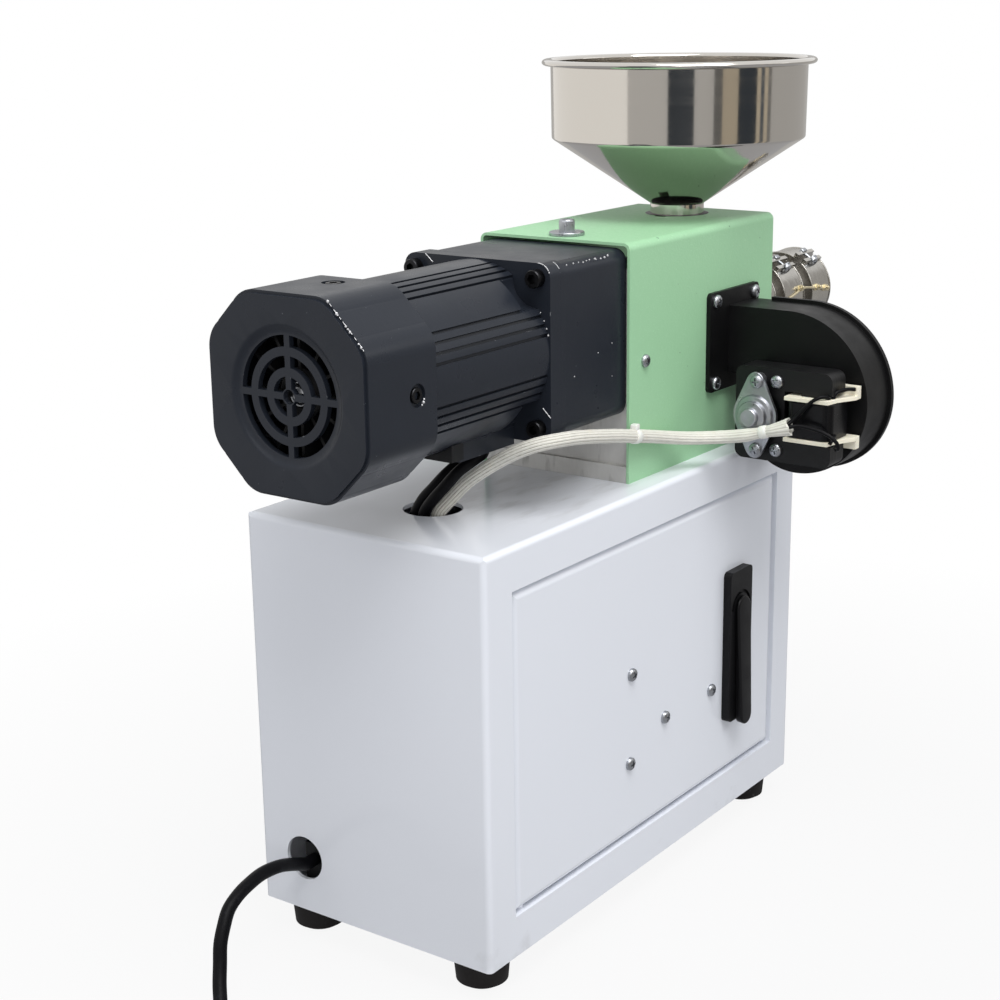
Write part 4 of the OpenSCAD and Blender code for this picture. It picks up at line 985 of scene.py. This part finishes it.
def light_line(bm, points, width, gaps=0.0):
    """A thin light line along points, broken and of uneven width: bare metal on worn edges, a painted
    highlight on the flange's corners.
    """
    def uneven(i, angle):
        return MM * width * (0.6 + 0.4 * math.sin(2.3 * i) ** 2)

    run = []
    for p in smooth(points, 6):
        if random.random() < gaps and len(run) > 1:
            sweep(bm, run, uneven, 6)
            run = []
        run.append(at(*p))
    if len(run) > 1:
        sweep(bm, run, uneven, 6)


def flake(bm, point, size):
    """A small uneven chip, flat against what carries it."""
    sides = [size * MM * random.uniform(low, high) for low, high in ((0.6, 1.0), (0.6, 1.0), (0.7, 1.2))]
    bmesh.ops.create_icosphere(bm, subdivisions=1, radius=1.0,
                               matrix=Matrix.Translation(at(*point)) @ Matrix.Diagonal((*sides, 1)))


def wear_and_highlights(bm):
    """Bare metal on the cover's edge, the gearbox's top edge and round a screw; painted highlights as light
    lines on the flange's corners and lip.
    """
    edge = [(COVER_EDGE_X, y, z) for y, z in (
        (36.9, 341.4), (31.0, 335.5), (25.5, 330.0), (19.0, 323.5), (17.0, 321.0))]
    light_line(bm, edge, 0.2, 0.45)
    for t, size in ((0.03, 0.75), (0.27, 0.95), (0.3, 0.5), (0.52, 0.85),
                    (0.57, 0.6), (0.63, 0.7), (0.86, 0.6), (0.93, 0.75)):
        flake(bm, Vector(edge[0]).lerp(Vector(edge[-1]), t), size)
    # painted highlights: light lines on the flange's two diagonal corners, then along its rounded top corner
    # and the lip
    for width, line in ((0.3, ((94.0, 340.4), (91.6, 338.4), (89.3, 336.3))),
                        (0.32, ((22.3, 268.6), (20.0, 266.3), (17.6, 264.0)))):
        light_line(bm, [(FLANGE_EDGE_X, y, z) for y, z in line], width)
    corner = [(FLANGE_EDGE_X + 0.1, FLANGE_Y + FLANGE_R * (1 - math.cos(a)),
               FLANGE_TOP - FLANGE_R * (1 - math.sin(a))) for a in map(math.radians, range(20, 91, 10))]
    light_line(bm, corner, 0.3, 0.06)
    lip = [(90.6, p[1], p[2]) for p in corner[1:6]]
    light_line(bm, lip, 0.26, 0.1)
    for x in (98, 104, 108.5, 113, 116, 119, 123.5, 125, 129, 133, 136):
        y, z = 19.1 + random.uniform(-0.25, 0.25), 337.6 + random.uniform(-0.4, 0.4)
        flake(bm, (x, y, z), random.uniform(0.35, 0.7))
    for y, z in ((23.2, 316.3), (21.0, 312.4), (19.6, 308.6), (18.7, 305.4)):
        flake(bm, (81.2, y, z), random.uniform(0.35, 0.6))
    for x, z in ((139.2, 292.4), (139.3, 275.1), (104.0, 281.0), (126.0, 289.5)):
        flake(bm, (x, 18.5, z), random.uniform(0.3, 0.5))
    for x, z, size in ((-22.6, 291.9, 0.9), (-22.0, 293.2, 0.6), (-23.6, 290.8, 0.7)):
        flake(bm, (x, 15.4, z), size)


built("motor_chips_and_highlights", wear_and_highlights, BARE_METAL_AND_HIGHLIGHT, "motor_paint", sharp=60.0)

# the handle's lever, low at its pivot and standing out more at its tip
LEVER_LOW, LEVER_HIGH = (Vector(p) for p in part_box("handle_lever"))
LEVER_X = (LEVER_LOW.x + LEVER_HIGH.x) / 2
PLATE_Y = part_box("handle_base")[0][1]
PIVOT_R, TIP_R = 7.6 * MM, 6.2 * MM
SOLID_END_R, TIP_SHORT = 9.0 * MM, 1.5 * MM
HUB = [(0, -4.6), (4.4, -4.6), (4.4, 1.2), (0, 1.2)]
PIVOT_Z = LEVER_HIGH.z - SOLID_END_R
TIP_Z = LEVER_LOW.z + TIP_SHORT + TIP_R
LEVER_GAP, RISE_PIVOT, RISE_TIP = 0.8 * MM, 2.6 * MM, 5.2 * MM


def lever_ring(inset, below):
    """One ring of the lever: inset from its outline, and below its sloping front (None for its back)."""
    ring = []
    for centre, r, start in ((PIVOT_Z, PIVOT_R, 0), (TIP_Z, TIP_R, 180)):
        for k in range(25):
            a = math.radians(start + 7.5 * k)
            z = centre + (r - inset) * math.sin(a)
            slope = (PIVOT_Z - z) / (PIVOT_Z - TIP_Z)
            rise = LEVER_GAP if below is None else RISE_PIVOT + (RISE_TIP - RISE_PIVOT) * slope - below
            ring.append(Vector((LEVER_X + (r - inset) * math.cos(a), PLATE_Y - rise, z)))
    return ring


bm = bmesh.new()
skin(bm, [lever_ring(0.4 * MM, None)] + [lever_ring(inset * MM, below * MM) for inset, below in (
    (0.0, 1.1), (0.1, 0.7), (0.35, 0.35), (0.8, 0.1), (1.4, 0.0))])
lathe(bm, HUB, turned(Vector((LEVER_X, PLATE_Y, PIVOT_Z)), -Y), 32)
lever = piece("handle_lever_moulded", bm, MAT["handle_plastic"], "handle_plastic", "lever", sharp=50.0)
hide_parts("handle_lever")


# softer edges on the cast, moulded and milled pieces
for name, width in (("gearbox", 0.8), ("motor_flange", 0.8), ("motor_body", 0.4), ("fan_cover", 0.7),
                    ("handle_base", 0.7), ("block_base", 0.3), ("block_upright", 0.3),
                    ("blower_flange", 0.4), ("blower_scroll", 0.5), ("blower_core", 0.5),
                    ("blower_bobbin", 0.3), ("blower_coil", 0.8)):
    weld = NODES[name].modifiers.new("weld", "WELD")
    weld.merge_threshold = 1e-6
    bevel = NODES[name].modifiers.new("bevel", "BEVEL")
    bevel.width = width * MM
    bevel.segments = 3
    bevel.limit_method = "ANGLE"
    bevel.angle_limit = math.radians(40)
    NODES[name].modifiers.new("normals", "WEIGHTED_NORMAL")


# floor, cards, light and background
TABLE_GREY = (0.42, 0.42, 0.43)


def camera_like(tree):
    """1 for rays that show the background: camera, glossy and transmission rays."""
    path = tree.nodes.new("ShaderNodeLightPath")
    total = path.outputs["Is Camera Ray"]
    for name in ("Is Glossy Ray", "Is Transmission Ray"):
        node = tree.nodes.new("ShaderNodeMath")
        node.operation = "MAXIMUM"
        tree.links.new(total, node.inputs[0])
        tree.links.new(path.outputs[name], node.inputs[1])
        total = node.outputs[0]
    return total


def floor_material():
    """Pale floor that turns to plain white away from the object and keeps the object's shadow."""
    mat = bpy.data.materials.new("studio_floor")
    tree = nodes_of(mat)
    out = tree.nodes.new("ShaderNodeOutputMaterial")
    diffuse = tree.nodes.new("ShaderNodeBsdfDiffuse")
    diffuse.inputs["Color"].default_value = (*TABLE_GREY, 1)
    glow = tree.nodes.new("ShaderNodeEmission")
    glow.inputs["Strength"].default_value = 1.0
    coords = tree.nodes.new("ShaderNodeTexCoord")
    far = tree.nodes.new("ShaderNodeVectorMath")
    far.operation = "LENGTH"
    tree.links.new(coords.outputs["Object"], far.inputs[0])
    share = tree.nodes.new("ShaderNodeMapRange")
    for key, value in (("From Min", 0.22), ("From Max", 0.62), ("To Min", 0.91), ("To Max", 1.0)):
        share.inputs[key].default_value = value
    tree.links.new(far.outputs["Value"], share.inputs["Value"])
    pale = tree.nodes.new("ShaderNodeMixShader")
    tree.links.new(share.outputs["Result"], pale.inputs[0])
    mix = tree.nodes.new("ShaderNodeMixShader")
    tree.links.new(diffuse.outputs[0], pale.inputs[1])
    tree.links.new(glow.outputs[0], pale.inputs[2])
    tree.links.new(camera_like(tree), mix.inputs[0])
    tree.links.new(diffuse.outputs[0], mix.inputs[1])
    tree.links.new(pale.outputs[0], mix.inputs[2])
    tree.links.new(mix.outputs[0], out.inputs["Surface"])
    return mat


def staged(name, bm, material):
    """Turns a mesh into an object of the stage, which isn't part of the machine."""
    mesh = bpy.data.meshes.new(name)
    bm.to_mesh(mesh)
    bm.free()
    obj = bpy.data.objects.new(name, mesh)
    mesh.materials.append(material)
    COLLECTION.objects.link(obj)
    return obj


bm = bmesh.new()
bmesh.ops.create_grid(bm, x_segments=8, y_segments=8, size=6.0)
staged("floor", bm, floor_material())


def card_material(name, color):
    """A card that glows evenly in one colour."""
    mat = bpy.data.materials.new(name)
    tree = nodes_of(mat)
    out = tree.nodes.new("ShaderNodeOutputMaterial")
    glow = tree.nodes.new("ShaderNodeEmission")
    glow.inputs["Color"].default_value = (*color, 1)
    tree.links.new(glow.outputs[0], out.inputs["Surface"])
    return mat


def only_glossy(obj):
    """Keeps a card out of everything but reflections."""
    obj.visible_camera = False
    obj.visible_diffuse = False
    obj.visible_shadow = False
    obj.visible_transmission = False


# dark and grey cards round the table, which only reflections show: start and end in degrees, level and tint
GREY, COOL, TAN = (1.0, 0.98, 0.95), (0.85, 1.0, 1.2), (1.1, 0.96, 0.75)
FLAGS = ((0, 58, 0.5, GREY), (58, 164, 1.0, GREY), (164, 202, 0.56, GREY), (202, 226, 0.045, COOL),
         (226, 244, 0.5, GREY), (244, 252, 0.15, GREY), (252, 267, 0.42, TAN), (267, 286, 0.05, COOL),
         (286, 290, 0.5, TAN), (290, 294, 0.1, COOL), (294, 298, 0.5, TAN), (298, 302, 0.2, GREY),
         (302, 360, 0.48, GREY))
FLAG_R, FLAG_H = 1.05, 0.6
for start, end, level, tint in FLAGS:
    bm = bmesh.new()
    count = max(2, (end - start) // 4)
    columns = []
    for k in range(count + 1):
        a = math.radians(start + (end - start) * k / count)
        columns.append([bm.verts.new((FLAG_R * math.cos(a), FLAG_R * math.sin(a), h)) for h in (0.0, FLAG_H)])
    for a, b in zip(columns, columns[1:]):
        bm.faces.new((a[0], b[0], b[1], a[1]))
    only_glossy(staged(f"flag_{start}", bm, card_material(f"flag_{start}", [level * c for c in tint])))

bm = bmesh.new()
bmesh.ops.create_circle(bm, cap_ends=True, segments=64, radius=FLAG_R,
                        matrix=Matrix.Translation((0, 0, 0.0004)))
only_glossy(staged("table_card", bm, card_material("table_card", TABLE_GREY)))

world = bpy.data.worlds.new("studio")
SCENE.world = world
tree = nodes_of(world)
out = tree.nodes.new("ShaderNodeOutputWorld")
plain = tree.nodes.new("ShaderNodeBackground")
plain.inputs["Color"].default_value = (0.97, 0.985, 1.0, 1)
plain.inputs["Strength"].default_value = 0.4
white = tree.nodes.new("ShaderNodeBackground")
white.inputs["Color"].default_value = (1, 1, 1, 1)
white.inputs["Strength"].default_value = 1.0
mix = tree.nodes.new("ShaderNodeMixShader")
tree.links.new(camera_like(tree), mix.inputs[0])
tree.links.new(plain.outputs[0], mix.inputs[1])
tree.links.new(white.outputs[0], mix.inputs[2])
tree.links.new(mix.outputs[0], out.inputs["Surface"])

LAMP_TARGET = Vector((0.0, 0.0, 0.25))


def softbox(name, place, size, power):
    """A rectangular lamp that looks at the middle of the machine."""
    data = bpy.data.lights.new(name, "AREA")
    data.shape = "RECTANGLE"
    data.size, data.size_y = size
    data.energy = power
    lamp = bpy.data.objects.new(name, data)
    lamp.matrix_world = Matrix.Translation(place) @ (Vector(place) - LAMP_TARGET).to_track_quat(
        "Z", "Y").to_matrix().to_4x4()
    COLLECTION.objects.link(lamp)


softbox("key", (-0.52, -0.83, 2.35), (1.6, 1.4), 48.0)
softbox("fill", (0.95, -1.85, 0.95), (1.6, 1.0), 6.0)
softbox("side", (-1.9, 0.2, 0.95), (1.2, 1.2), 6.0)
softbox("front", (-1.6, -1.4, 0.75), (1.0, 0.8), 7.0)

SCENE.view_settings.view_transform = "Standard"
